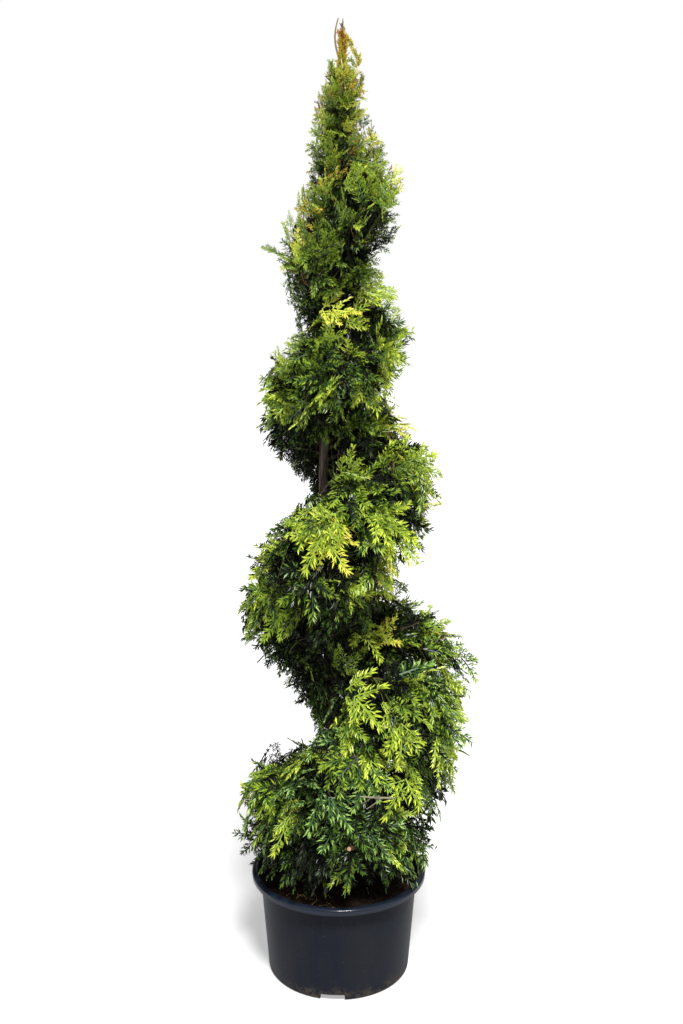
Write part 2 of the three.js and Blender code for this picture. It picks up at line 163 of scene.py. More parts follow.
class Value:
    """A socket on which arithmetic adds the nodes that work it out."""

    def __init__(self, sheet: "NodeSheet", socket: bpy.types.NodeSocket) -> None:
        """Wraps a socket.

        Args:
            sheet: The node sheet that the socket belongs to.
            socket: An output socket.
        """
        self.sheet = sheet
        self.socket = socket

    def _maths(self, operation: str, first: object, second: object) -> "Value":
        """Adds one Math node.

        Args:
            operation: The node's operation.
            first: Its first value or number.
            second: Its second value or number.

        Returns:
            The node's result.
        """
        return self.sheet.node("ShaderNodeMath", {"operation": operation}, {0: first, 1: second})

    def __add__(self, other: object) -> "Value":
        """Adds a value or number."""
        return self._maths("ADD", self, other)

    def __radd__(self, other: object) -> "Value":
        """Is added to a number."""
        return self._maths("ADD", other, self)

    def __sub__(self, other: object) -> "Value":
        """Takes a value or number away."""
        return self._maths("SUBTRACT", self, other)

    def __rsub__(self, other: object) -> "Value":
        """Is taken away from a number."""
        return self._maths("SUBTRACT", other, self)

    def __mul__(self, other: object) -> "Value":
        """Multiplies by a value or number."""
        return self._maths("MULTIPLY", self, other)

    def __rmul__(self, other: object) -> "Value":
        """Multiplies a number."""
        return self._maths("MULTIPLY", other, self)

    def step(self, low: float, high: float) -> "Value":
        """Reads a smooth step of this value.

        Args:
            low: The value that gives 0.
            high: The value that gives 1.

        Returns:
            The step, from 0 to 1.
        """
        return self.sheet.node(
            "ShaderNodeMapRange",
            {"interpolation_type": "SMOOTHSTEP"},
            {"Value": self, "From Min": low, "From Max": high},
        )


class NodeSheet:
    """The nodes of one material, written as Python expressions."""

    def __init__(self, name: str) -> None:
        """Starts a material with a Principled shader.

        Args:
            name: The material's name.
        """
        self.material = bpy.data.materials.new(name)
        self.material.use_nodes = True
        self.tree = self.material.node_tree
        self.shader = self.tree.nodes["Principled BSDF"]

    def node(
        self,
        kind: str,
        settings: Mapping[str, object] | None = None,
        inputs: Mapping[str | int, object] | None = None,
        output: str | int = 0,
    ) -> Value:
        """Adds a node.

        Args:
            kind: The node's type.
            settings: Its own settings, set first. "stops" gives a colour ramp
                its places and colours.
            inputs: Values, numbers or colours for its sockets.
            output: The socket to read.

        Returns:
            The value of that socket.
        """
        made = self.tree.nodes.new(kind)
        for name, setting in (settings or {}).items():
            if name == "stops":
                self._set_stops(made.color_ramp, setting)
            else:
                setattr(made, name, setting)
        for name, given in (inputs or {}).items():
            self.put(made.inputs[name], given)
        return Value(self, made.outputs[output])

    @staticmethod
    def _set_stops(ramp: bpy.types.ColorRamp, stops: Sequence[tuple[float, str]]) -> None:
        """Gives a colour ramp its stops.

        Args:
            ramp: The ramp of a new node, which has two stops.
            stops: Places from 0 to 1 and written colours, in order.
        """
        while len(ramp.elements) < len(stops):
            ramp.elements.new(0.5)
        for element, (place, colour) in zip(ramp.elements, stops, strict=True):
            element.position = place
            element.color = linear(colour)

    def put(self, socket: bpy.types.NodeSocket, given: object) -> None:
        """Links or sets one input socket.

        Args:
            socket: The input socket.
            given: A value, a number, a vector or a written colour.
        """
        if isinstance(given, Value):
            self.tree.links.new(given.socket, socket)
        elif isinstance(given, str):
            socket.default_value = linear(given)
        else:
            socket.default_value = given

    def shade(self, **given: object) -> None:
        """Sets the sockets of the shader.

        Args:
            **given: Values by socket name, with _ for each space.
        """
        for name, value in given.items():
            self.put(self.shader.inputs[name.replace("_", " ")], value)

    def place(self, stretch: Sequence[float] = (1, 1, 1)) -> Value:
        """Reads the place on the piece, in metres.

        Args:
            stretch: What each of x, y and z is multiplied by.

        Returns:
            The place as a vector.
        """
        where = self.node("ShaderNodeTexCoord", output="Object")
        return self.node("ShaderNodeMapping", {}, {"Vector": where, "Scale": tuple(stretch)})

    def height(self) -> Value:
        """Reads the height on the piece."""
        return self.node("ShaderNodeSeparateXYZ", {}, {0: self.place()}, "Z")

    def noise(
        self, scale: float, stretch: Sequence[float] = (1, 1, 1), detail: float = 3, rough: float = 0.55
    ) -> Value:
        """Reads a cloudy pattern.

        Args:
            scale: How many clouds lie on a metre.
            stretch: What each direction is multiplied by before that.
            detail: How many finer layers it has.
            rough: How strong the finer layers are.

        Returns:
            The pattern, from 0 to 1.
        """
        return self.node(
            "ShaderNodeTexNoise",
            {},
            {"Vector": self.place(stretch), "Scale": scale, "Detail": detail, "Roughness": rough},
            "Fac",
        )

    def ramp(self, value: Value, stops: Sequence[tuple[float, str]]) -> Value:
        """Turns a value into a colour.

        Args:
            value: A value from 0 to 1.
            stops: Places from 0 to 1 and written colours.

        Returns:
            The colour.
        """
        return self.node("ShaderNodeValToRGB", {"stops": stops}, {"Fac": value})

    def mix(self, share: object, low: object, high: object) -> Value:
        """Mixes two colours.

        Args:
            share: How much of the second shows.
            low: The first colour.
            high: The second colour.

        Returns:
            The mixed colour.
        """
        made = self.tree.nodes.new("ShaderNodeMix")
        made.data_type = "RGBA"
        for socket, given in ((0, share), (6, low), (7, high)):
            self.put(made.inputs[socket], given)
        return Value(self, made.outputs[2])

    def bump(self, height: Value, distance: float, strength: float = 1) -> Value:
        """Raises the surface by a pattern.

        Args:
            height: The pattern, from 0 to 1.
            distance: How high its 1 stands, in metres.
            strength: How much of it shows.

        Returns:
            The turned normal.
        """
        return self.node(
            "ShaderNodeBump", {}, {"Height": height, "Distance": distance, "Strength": strength}
        )


# ------------------------------------------------------------------ finishes


@dataclass(frozen=True)
class MattePlastic:
    """Blue-black moulded plastic, dusty, with dried splashes at its foot and a bluer lip that is a
    painted reflection of the sky.
    """

    dark: str = "#141822"
    scuffed: str = "#1c1e24"
    # The lip's bluer colour is a painted reflection of the sky.
    lip: str = "#151b28"
    dust: str = "#4f4a41"
    mud: str = "#4b4337"
    lip_from: float = 0.189
    mud_to: float = 0.036

    def make(self) -> bpy.types.Material:
        """Builds the material.

        Returns:
            The material.
        """
        sheet = NodeSheet("matte_plastic")
        height = sheet.height()
        clouds = sheet.noise(9, detail=4)
        streaks = sheet.noise(40, (1, 1, 0.12), detail=3)
        body = sheet.mix((0.6 * clouds + 0.4 * streaks).step(0.38, 0.66), self.dark, self.scuffed)
        # Paints the lip bluer: a painted reflection of the sky.
        body = sheet.mix(height.step(self.lip_from, self.lip_from + 0.004), body, self.lip)
        specks = sheet.noise(330, detail=1).step(0.71, 0.78)
        body = sheet.mix(0.55 * specks, body, self.dust)
        splash = sheet.noise(48, detail=6, rough=0.78).step(0.46, 0.62)
        low = 1 - height.step(0.002, self.mud_to)
        body = sheet.mix(0.8 * (splash * low), body, self.mud)
        grain = sheet.noise(1500, detail=2)
        dents = sheet.noise(14, detail=2)
        sheet.shade(
            Base_Color=body,
            Roughness=0.40 + 0.16 * clouds + 0.3 * (splash * low),
            Specular_IOR_Level=0.07,
            Coat_Weight=0.42 * height.step(self.lip_from, self.lip_from + 0.004),
            Coat_Roughness=0.16,
            Normal=sheet.bump(0.12 * grain + 0.88 * dents, 0.0011, 0.6),
        )
        return sheet.material


@dataclass(frozen=True)
class DampSoil:
    """Peaty potting soil, nearly black where it is damp."""

    damp: str = "#120d09"
    peat: str = "#2a1d13"
    dry: str = "#4b3826"

    def make(self) -> bpy.types.Material:
        """Builds the material.

        Returns:
            The material.
        """
        sheet = NodeSheet("damp_soil")
        lumps = sheet.noise(55, detail=5, rough=0.65)
        fine = sheet.noise(420, detail=3, rough=0.7)
        sheet.shade(
            Base_Color=sheet.ramp(
                0.6 * lumps + 0.4 * fine, ((0.34, self.damp), (0.55, self.peat), (0.74, self.dry))
            ),
            Roughness=0.75 + 0.25 * fine,
            Specular_IOR_Level=0.2,
            Normal=sheet.bump(0.7 * lumps + 0.3 * fine, 0.004, 0.9),
        )
        return sheet.material


@dataclass(frozen=True)
class ConiferBark:
    """Stringy grey-brown bark that turns to tan where the leader is young."""

    crack: str = "#1c1712"
    strip: str = "#5e5348"
    worn: str = "#8b8177"
    young: str = "#8b7a5f"
    young_from: float = 1.45
    young_to: float = 1.68

    def make(self) -> bpy.types.Material:
        """Builds the material.

        Returns:
            The material.
        """
        sheet = NodeSheet("conifer_bark")
        strings = sheet.noise(120, (1, 1, 0.09), detail=5, rough=0.62)
        plates = sheet.noise(34, (1, 1, 0.3), detail=3)
        old = sheet.ramp(
            0.65 * strings + 0.35 * plates, ((0.36, self.crack), (0.5, self.strip), (0.68, self.worn))
        )
        youth = sheet.height().step(self.young_from, self.young_to)
        sheet.shade(
            Base_Color=sheet.mix(0.85 * youth, old, self.young),
            Roughness=0.95 - 0.35 * youth,
            Specular_IOR_Level=0.25,
            Normal=sheet.bump(strings, 0.0018, 0.9),
        )
        return sheet.material


class Tint(Enum):
    """The plain colours that are dealt out to sprays and twigs."""

    # SHADE is the near-black of painted shade, dealt to sprays deep in the crown.
    SHADE = "#090d05"
    DEEP = "#1d2b0d"
    BLUE = "#41602f"
    MIDDLE = "#527326"
    MIST = "#97b65f"
    FRESH = "#92a936"
    LIME = "#cbd94e"
    YELLOW = "#e9dd64"
    GOLD = "#dfb944"
    BRONZE = "#9c6a34"
    STRAW = "#8d7448"
    TWIG_GREEN = "#525c22"
    TWIG_BROWN = "#453629"
    TWIG_GREY = "#6b6054"
    TWIG_TAN = "#8f6c4c"
    TWIG_CREAM = "#d8c79a"
    TWIG_PALE = "#87846a"
    TWIG_CUT = "#a87c62"

    def make(self) -> bpy.types.Material:
        """Builds the plain material of this colour.

        Returns:
            The material.
        """
        sheet = NodeSheet(self.name.lower())
        dull = self is Tint.SHADE or self.name.startswith("TWIG")
        sheet.shade(
            Base_Color=self.value,
            Roughness=0.85 if dull else 0.38,
            Specular_IOR_Level=0.2 if dull else 0.45,
        )
        return sheet.material


class Habit(Enum):
    """How a spray is coloured, from its base over its middle to its tips."""

    SHADED = (Tint.SHADE, Tint.SHADE, Tint.DEEP)
    DEEP = (Tint.SHADE, Tint.DEEP, Tint.MIDDLE)
    BLUISH = (Tint.BLUE, Tint.BLUE, Tint.MIST)
    GREEN = (Tint.DEEP, Tint.MIDDLE, Tint.FRESH)
    FRESH = (Tint.MIDDLE, Tint.FRESH, Tint.FRESH)
    LIME = (Tint.FRESH, Tint.FRESH, Tint.LIME)
    YELLOW = (Tint.LIME, Tint.LIME, Tint.YELLOW)
    GILDED = (Tint.MIDDLE, Tint.LIME, Tint.GOLD)
    BRONZED = (Tint.MIDDLE, Tint.FRESH, Tint.BRONZE)
    RUSTED = (Tint.BRONZE, Tint.BRONZE, Tint.GOLD)
    DRIED = (Tint.TWIG_BROWN, Tint.STRAW, Tint.STRAW)


SPRAY_TINTS = (
    Tint.SHADE,
    Tint.DEEP,
    Tint.BLUE,
    Tint.MIDDLE,
    Tint.MIST,
    Tint.FRESH,
    Tint.LIME,
    Tint.YELLOW,
    Tint.GOLD,
    Tint.BRONZE,
    Tint.STRAW,
    Tint.TWIG_BROWN,
)
TWIG_TINTS = (
    Tint.TWIG_BROWN, Tint.TWIG_GREY, Tint.TWIG_GREEN, Tint.TWIG_TAN, Tint.TWIG_CREAM, Tint.TWIG_PALE
)
HABITS = tuple(Habit)
HABIT_TINTS = np.array([[SPRAY_TINTS.index(t) for t in h.value] for h in HABITS])


# -------------------------------------------------------------- mesh helpers


def piece_from_arrays(
    name: str, points: Array, faces: Array, tints: Array | None = None, smooth: bool = False
) -> bpy.types.Object:
    """Makes one object of triangles.

    Args:
        name: The piece's name.
        points: Its points, in rows.
        faces: Three point numbers for each triangle.
        tints: The material slot of each triangle, or None for the first.
        smooth: Whether its faces are shaded smooth.

    Returns:
        The new object.
    """
    mesh = bpy.data.meshes.new(name)
    mesh.vertices.add(len(points))
    mesh.vertices.foreach_set("co", points.astype(np.float32).ravel())
    mesh.loops.add(faces.size)
    mesh.loops.foreach_set("vertex_index", faces.astype(np.int32).ravel())
    mesh.polygons.add(len(faces))
    mesh.polygons.foreach_set("loop_start", np.arange(0, faces.size, 3, dtype=np.int32))
    if tints is not None:
        mesh.polygons.foreach_set("material_index", tints.astype(np.int32))
    mesh.update(calc_edges=True)
    mesh.polygons.foreach_set("use_smooth", np.full(len(faces), smooth))
    made = bpy.data.objects.new(name, mesh)
    bpy.context.scene.collection.objects.link(made)
    return made


def hand_over(
    piece: bpy.types.Object,
    finishes: Iterable[bpy.types.Material],
    nodes: Sequence[str] = (),
) -> None:
    """Dresses a piece and ties it to the frame.

    Args:
        piece: The finished piece, at the origin.
        finishes: Its materials, in the order of its slots.
        nodes: The CAD nodes that it stands for.
    """
    for finish in finishes:
        piece.data.materials.append(finish)
    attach(piece, BODY)
    if nodes:
        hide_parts(*nodes)
    log.info("%s: %d faces", piece.name, len(piece.data.polygons))


def start_editing() -> None:
    """Applies the place of the new piece and starts editing all of it."""
    bpy.ops.object.transform_apply()
    bpy.ops.object.mode_set(mode="EDIT")
    bpy.ops.mesh.select_all(action="SELECT")


def close_rims() -> bpy.types.Object:
    """Closes the open rims of the piece being edited and turns its faces outwards.

    Returns:
        The finished piece.
    """
    bpy.ops.mesh.select_all(action="DESELECT")
    bpy.ops.mesh.select_non_manifold()
    bpy.ops.mesh.edge_face_add()
    bpy.ops.mesh.select_all(action="SELECT")
    bpy.ops.mesh.normals_make_consistent(inside=False)
    bpy.ops.object.mode_set(mode="OBJECT")
    return bpy.context.object


def roughen(
    piece: bpy.types.Object,
    layers: Iterable[tuple[str, float, float]],
    noise: str = "SOFT_NOISE",
    **settings: object,
) -> None:
    """Makes a mesh finer and raises cloudy patterns on it.

    Args:
        piece: The active piece.
        layers: The name of each pattern, the size of its clouds and its lift.
        noise: The kind of clouds.
        **settings: More settings of the modifiers that raise the patterns.
    """
    finer = piece.modifiers.new("finer", "SUBSURF")
    finer.subdivision_type = "SIMPLE"
    finer.levels = finer.render_levels = 1
    for name, size, lift in layers:
        pattern = bpy.data.textures.new(name, "CLOUDS")
        pattern.noise_scale = size
        pattern.noise_type = noise
        raised = piece.modifiers.new(name, "DISPLACE")
        raised.texture = pattern
        raised.mid_level = 0.5
        raised.strength = lift
        for setting, value in settings.items():
            setattr(raised, setting, value)
    for modifier in list(piece.modifiers):
        bpy.ops.object.modifier_apply(modifier=modifier.name)


def tubes(paths: Array, radii: Array, sides: int) -> tuple[Array, Array]:
    """Wraps tubes round paths that all have the same number of points.

    Args:
        paths: The paths, by tube, point and axis.
        radii: The radius at each point of each tube.
        sides: How many sides a tube has.

    Returns:
        The points and the triangles of all the tubes.
    """
    count, length, _ = paths.shape
    along = unit(np.gradient(paths, axis=1))
    overall = unit(paths[:, -1] - paths[:, 0])
    side = np.where(np.abs(overall[:, 2:3]) > 0.8, (1.0, 0, 0), (0, 0, 1.0))
    across = square_to(np.repeat(side[:, None], length, 1), along)
    other = np.cross(along, across)
    turn = np.arange(sides) * 2 * np.pi / sides
    ring = (across[:, :, None] * np.cos(turn)[:, None] + other[:, :, None] * np.sin(turn)[:, None])
    points = paths[:, :, None] + ring * radii[:, :, None, None]
    here = np.arange(sides)
    after = (here + 1) % sides
    step = (np.arange(length - 1) * sides)[:, None]
    lower, upper = step, step + sides
    quads = np.stack(
        (
            np.stack((lower + here, lower + after, upper + after), -1),
            np.stack((lower + here, upper + after, upper + here), -1),
        ),
        2,
    ).reshape(-1, 3)
    first = (np.arange(count) * length * sides)[:, None, None]
    return points.reshape(-1, 3), (quads[None] + first).reshape(-1, 3)


# ------------------------------------------------------------- growing rules


@dataclass(frozen=True)
class TrunkLine:
    """The line and the thickness of the trunk."""

    soil_top: float = 0.182
    top: float = 1.773
    base_radius: float = 0.018
    tip_radius: float = 0.0016
    flare: float = 0.007
    flare_height: float = 0.045
    lean: float = 0.027
    lean_height: float = 0.985
    tip_shift: float = 0.008
    tip_shift_from: float = 1.4

    def centre(self, height: Array) -> Array:
        """Gives the x of the trunk's middle.

        Args:
            height: Heights above the floor.

        Returns:
            The x at each height, where y is 0.
        """
        up = np.clip((height - self.soil_top) / (self.lean_height - self.soil_top), 0, 1)
        down = np.clip((height - self.lean_height) / (self.top - self.lean_height), 0, 1)
        bow = np.sin(np.pi / 2 * up) ** 2 * np.cos(np.pi / 2 * down) ** 2
        shift = smoothstep(height, self.tip_shift_from, self.top)
        return self.tip_shift * shift - self.lean * bow

    def radius(self, height: Array) -> Array:
        """Gives the trunk's radius.

        Args:
            height: Heights above the floor.

        Returns:
            The radius at each height.
        """
        above = height - self.soil_top
        share = np.clip(above / (self.top - self.soil_top), 0, 1)
        foot = np.maximum(0, 1 - above / self.flare_height) ** 2
        return (self.base_radius + (self.tip_radius - self.base_radius) * share + self.flare * foot)

    def point(self, angle: Array, height: Array, distance: Array) -> Array:
        """Gives points round the trunk.

        Args:
            angle: The direction from the trunk.
            height: The height above the floor.
            distance: The distance from the trunk's middle.

        Returns:
            The points, in rows.
        """
        turn = np.radians(angle)
        return np.stack(
            (
                self.centre(height) + distance * np.cos(turn),
                distance * np.sin(turn),
                height + 0 * distance,
            ),
            -1,
        )


@dataclass(frozen=True)
class CrownRule:
    """The clipped outline: a cone with one groove that winds up it."""

    trunk: TrunkLine = TrunkLine()
    bottom: float = 0.212
    top: float = 1.750
    radius: float = 0.207
    shoulder: float = 0.608
    taper: float = 0.61
    least: float = 0.010
    tuck: float = 0.02
    stand: float = 0.003
    bulge: Triple = (0.047, 0.540, 0.126)
    second_bulge: Triple = (0.013, 1.515, 0.075)
    foot_edge: float = 7
    foot_round: float = 3
    groove_heights: tuple[float, ...] = (
        0.454, 0.428, 0.755, 0.925, 1.109, 1.242, 1.326, 1.501, 1.610, 1.705
    )
    ribbon_girths: tuple[float, ...] = (
        -0.018, -0.003, 0.001, -0.008, 0.015, -0.001, -0.005, -0.004, 0.009, -0.015, 0.001, -0.002
    )
    groove_starts: Pair = (20, 150)
    groove_fades: Pair = (1370, 1600)
    groove_widening: float = 4.3
    groove_above: float = 2.1
    groove_below: float = 7.9
    column_radius: float = 0.072
    column_share: float = 0.61
    column_shift: float = 0.035
    column_straightens: Pair = (0.950, 1.300)
    bare_towards: float = 250
    bare_spread: float = 42
    bare_height: float = 1.000
    bare_rise: float = 0.048
    lump_depth: float = 0.035
    lump_round: tuple[int, int] = (5, 11)
    lump_rise: Pair = (0.047, 0.029)
    first_turn: float = -360
    wide_until: float = 720
    last_turn: float = 1620
    wide_masses: int = 13
    narrow_masses: int = 7

    def mass_edges(self) -> Array:
        """Gives the angles at which the masses meet, from the bottom up."""
        wide = np.linspace(self.first_turn, self.wide_until, self.wide_masses + 1)
        narrow = np.linspace(self.wide_until, self.last_turn, self.narrow_masses + 1)
        return np.concatenate((wide, narrow[1:]))

    def _through_half_turns(self, values: tuple[float, ...], angle: Array) -> Array:
        """Reads a smooth curve through the values at every half turn.

        Args:
            values: The value at each half turn.
            angle: The angle past the first of them.

        Returns:
            The value at each angle.
        """
        named = np.array(values)
        last = len(named) - 1

        def at(place: Array) -> Array:
            """Reads the named value at a place in the list."""
            return named[np.clip(place, 0, last)]

        place = np.clip(angle / 180, 0, last)
        step = np.minimum(place.astype(int), last - 1)
        t = place - step
        rise = at(step + 1) - at(step)
        slope_in = (at(step + 1) - at(step - 1)) / 2
        slope_out = (at(step + 2) - at(step)) / 2
        return (
            at(step)
            + slope_in * t
            + (3 * rise - 2 * slope_in - slope_out) * t**2
            + (slope_in + slope_out - 2 * rise) * t**3
        )

    def groove_height(self, angle: Array) -> Array:
        """Gives the height of the groove's bottom at each angle along it."""
        return self._through_half_turns(self.groove_heights, angle)

    def groove_depth(self, angle: Array) -> Array:
        """Gives how deep the groove is cut, from 0 to 1, at each angle."""
        return smoothstep(angle, *self.groove_starts) * (1 - smoothstep(angle, *self.groove_fades))

    def ribbon_span(self, angle: Array) -> tuple[Array, Array]:
        """Gives the lowest and highest point of the ribbon.

        Args:
            angle: The angle along the winding ribbon.

        Returns:
            The lowest and the highest height at each angle.
        """
        low = np.where(angle < 0, self.bottom, self.groove_height(angle))
        high = np.where(angle + 360 > self.last_turn, self.top, self.groove_height(angle + 360))
        return low, high

    def swell(self, angle: Array, height: Array) -> Array:
        """Gives how far the ribbon stands out between column and cone.

        Args:
            angle: The angle along the winding ribbon.
            height: The height above the floor.

        Returns:
            The share from 0, in the groove, to 1, on the cone.
        """
        low, high = self.ribbon_span(angle)
        place = np.clip(2 * (height - low) / (high - low) - 1, -1, 1)
        size = np.abs(place)
        depth = self.groove_depth(np.where(place < 0, angle, angle + 360))
        steep = np.where(place < 0, self.groove_above, self.groove_below)
        cut = 1 + ((1 - size**steep) ** self.groove_widening - 1) * depth
        foot = (1 - size**self.foot_edge) ** (1 / self.foot_round)
        return np.where((place < 0) & (angle < 0), foot, cut)

    def cone(self, height: Array) -> Array:
        """Gives the radius of the uncut cone at each height."""
        share = np.clip((height - self.shoulder) / (self.top - self.shoulder), 0, 1)
        low = np.maximum(0, self.shoulder - height)
        return self.radius * (1 - share) ** self.taper - self.tuck * low

    def _to_circle(self, middle: Array, radius: Array, angle: Array, height: Array) -> Array:
        """Measures from the trunk to a level circle round it.

        Args:
            middle: The x of the circle's middle.
            radius: The circle's radius.
            angle: The direction from the trunk.
            height: The height above the floor.

        Returns:
            The distance from the trunk's middle to the circle.
        """
        offset = self.trunk.centre(height) - middle
        along = offset * np.cos(np.radians(angle))
        inside = np.maximum(0, along**2 - offset**2 + radius**2)
        return np.sqrt(inside) - along

    def reach(self, angle: Array, height: Array) -> Array:
        """Gives how far the clipped foliage reaches from the trunk's middle.

        Args:
            angle: The angle along the winding ribbon.
            height: The height above the floor.

        Returns:
            The distance at each place.
        """
        size, place, spread = self.bulge
        more, higher, narrower = self.second_bulge
        middle = (
            self.stand + size * hump(height, place, spread) + more * hump(height, higher, narrower)
        )
        girth = self._through_half_turns(self.ribbon_girths, angle - self.first_turn)
        clipped = np.maximum(self.least, self.cone(height) + girth)
        cone = self._to_circle(middle, clipped, angle, height)
        shift = self.column_shift * (1 - smoothstep(height, *self.column_straightens))
        column = np.minimum(
            self._to_circle(
                shift,
                np.minimum(self.column_radius, self.column_share * self.cone(height)),
                angle,
                height,
            ),
            cone,
        )
        turn = np.radians(angle)
        lumps = np.sin(turn * self.lump_round[0] + height / self.lump_rise[0]) + np.sin(
            turn * self.lump_round[1] - height / self.lump_rise[1]
        )
        away = np.abs((angle - self.bare_towards + 180) % 360 - 180)
        bare = hump(away, 0, self.bare_spread) * hump(height, self.bare_height, self.bare_rise)
        column = column * (1 - bare)
        out = column + (cone - column) * self.swell(angle, height)
        return out * (1 + self.lump_depth * lumps)

    def room(self, points: Array, near: float) -> Array:
        """Measures how far points lie inside the clipped outline.

        Args:
            points: The points, in rows.
            near: An angle on the ribbon that the points belong to.

        Returns:
            The distance to the outline, below 0 outside it.
        """
        height = points[..., 2]
        x = points[..., 0] - self.trunk.centre(height)
        y = points[..., 1]
        distance = np.hypot(x, y)
        own = near + (np.degrees(np.arctan2(y, x)) - near + 180) % 360 - 180
        outside = np.maximum(self.bottom - height, height - self.top)
        room = np.where(outside > 0, -outside, -1.0)
        for angle in (own - 360, own, own + 360):
            low, high = self.ribbon_span(angle)
            within = (low <= height) & (height <= high)
            left = self.reach(angle, height) - distance
            room = np.where(within, np.maximum(room, left), room)
        return room


# ------------------------------------------------------------ pot and soil


@dataclass
class NurseryPot:
    """The moulded pot: a tapered wall, a rolled lip and a notched foot."""

    height: float = 0.202
    top_radius: float = 0.153
    base_radius: float = 0.138
    wall: float = 0.003
    corner: float = 0.005
    lip_radius: float = 0.170
    lip_width: float = 0.012
    lip_drop: float = 0.013
    lip_round: float = 0.005
    foot_ring: float = 0.013
    foot_height: float = 0.0125
    foot_slope: float = 0.003
    foot_edge: float = 0.0012
    floor_middle: float = 0.030
    floor_inset: float = 0.006
    wall_rings: Triple = (0.03, 0.09, 0.15)
    inner_rings: Triple = (0.185, 0.12, 0.03)
    under_lip: float = 0.001
    lip_edge: float = 0.002
    lip_under: float = 0.0025
    lip_inside: Pair = (0.0008, 0.007)
    notches: int = 3
    notch_towards: float = 265.4
    notch_width: float = 0.050
    notch_height: float = 0.012
    notch_depth: float = 0.020
    notch_out: float = 0.003
    notch_spare: float = 0.008
    notch_slant: float = 0.9
    notch_edge: float = 0.0022
    drains: int = 6
    drain_radius: float = 0.006
    drain_ring: float = 0.082
    segments: int = 144
    finish: MattePlastic = field(default_factory=MattePlastic)

    def wall_radius(self, height: float) -> float:
        """Gives the outer radius of the wall at a height."""
        share = height / (self.height - self.lip_drop)
        return self.base_radius + (self.top_radius - self.base_radius) * share

    def _arc(self, middle: Pair, radius: float, start: float, end: float) -> list[Pair]:
        """Gives the points of a rounded edge of the profile.

        Args:
            middle: The arc's middle, as distance from the axis and height.
            radius: The arc's radius.
            start: The angle where it starts.
            end: The angle where it ends.

        Returns:
            Five points from start to end.
        """
        steps = (polar(radius, turn) for turn in np.linspace(start, end, 5))
        return [(middle[0] + out, middle[1] + up) for out, up in steps]

    def profile(self) -> list[Pair]:
        """Gives the turned outline as distances from the axis and heights.

        Returns:
            The outline from under the floor, out and up the wall, over the lip
            and down inside to the floor.
        """
        floor = self.foot_height
        inner_foot = self.base_radius - self.foot_ring
        lip_low = self.height - self.lip_drop
        wall_top = self.wall_radius(lip_low)
        edge, small, step = self.foot_edge, self.lip_edge, self.under_lip
        corner = self.wall_radius(self.corner) - self.corner
        outer = self.lip_radius - self.lip_round
        inner = self.lip_radius - self.lip_width
        return [
            (self.floor_middle, floor),
            (inner_foot - self.foot_slope - edge, floor),
            (inner_foot - self.foot_slope, floor - edge),
            (inner_foot, edge),
            (inner_foot + edge, 0.0),
            *self._arc((corner, self.corner), self.corner, -90, 0),
            *((self.wall_radius(z), z) for z in self.wall_rings),
            (wall_top - step, lip_low - step),
            (wall_top + step, lip_low),
            *self._arc((self.lip_radius - self.lip_under, lip_low + small), small, -90, 0),
            *self._arc((outer, self.height - self.lip_round), self.lip_round, 0, 90),
            *self._arc((inner + small, self.height - small), small, 90, 180),
            (inner - self.lip_inside[0], self.height - self.lip_inside[1]),
            *((self.wall_radius(z) - self.wall, z) for z in self.inner_rings),
            (self.base_radius - self.wall - self.floor_inset, floor + self.wall),
            (self.floor_middle, floor + self.wall),
        ]

    def _turn_shell(self) -> bpy.types.Object:
        """Extrudes a ring along the profile and closes its two ends.

        Returns:
            The closed shell.
        """
        steps = self.profile()
        radius, height = steps[0]
        bpy.ops.mesh.primitive_circle_add(
            vertices=self.segments, radius=radius, location=(0, 0, height)
        )
        start_editing()
        bpy.ops.mesh.edge_face_add()
        bpy.ops.mesh.select_all(action="DESELECT")
        bpy.ops.mesh.select_non_manifold()
        for (was, low), (now, high) in pairwise(steps):
            bpy.ops.mesh.extrude_edges_move(TRANSFORM_OT_translate={"value": (0, 0, high - low)})
            bpy.ops.transform.resize(value=(now / was, now / was, 1), center_override=(0, 0, high))
        bpy.ops.mesh.edge_face_add()
        bpy.ops.mesh.select_all(action="SELECT")
        bpy.ops.mesh.remove_doubles(threshold=1e-6)
        bpy.ops.mesh.normals_make_consistent(inside=False)
        bpy.ops.object.mode_set(mode="OBJECT")
        return bpy.context.object

    def _cut(self, pot: bpy.types.Object, cutter: bpy.types.Object) -> None:
        """Cuts one shape out of the pot and removes it.

        Args:
            pot: The shell.
            cutter: The shape to take away.
        """
        cut = pot.modifiers.new("cut", "BOOLEAN")
        cut.operation = "DIFFERENCE"
        cut.solver = "EXACT"
        cut.object = cutter
        bpy.context.view_layer.objects.active = pot
        bpy.ops.object.modifier_apply(modifier=cut.name)
        bpy.data.objects.remove(cutter)

    def _notch(self, towards: float) -> bpy.types.Object:
        """Makes the shape that cuts one notch of the foot.

        Args:
            towards: The direction of the notch.

        Returns:
            A block with slanting, rounded sides.
        """
        middle = self.base_radius - self.notch_depth / 2 + self.notch_out
        depth = self.notch_depth + self.notch_spare
        bpy.ops.mesh.primitive_cube_add(
            size=1,
            location=(*polar(middle, towards), 0),
            rotation=(0, 0, math.radians(towards)),
            scale=(depth, self.notch_width, self.notch_height * 2),
        )
        block = bpy.context.object
        bpy.ops.object.mode_set(mode="EDIT")
        bpy.ops.mesh.select_all(action="DESELECT")
        bpy.ops.object.mode_set(mode="OBJECT")
        for face in block.data.polygons:
            face.select = face.normal.z > 0.9
        bpy.ops.object.mode_set(mode="EDIT")
        bpy.ops.transform.resize(value=(self.notch_slant, self.notch_slant, 1))
        bpy.ops.mesh.bevel(offset=self.notch_edge, segments=3, affect="EDGES")
        bpy.ops.object.mode_set(mode="OBJECT")
        bpy.ops.object.transform_apply()
        return block

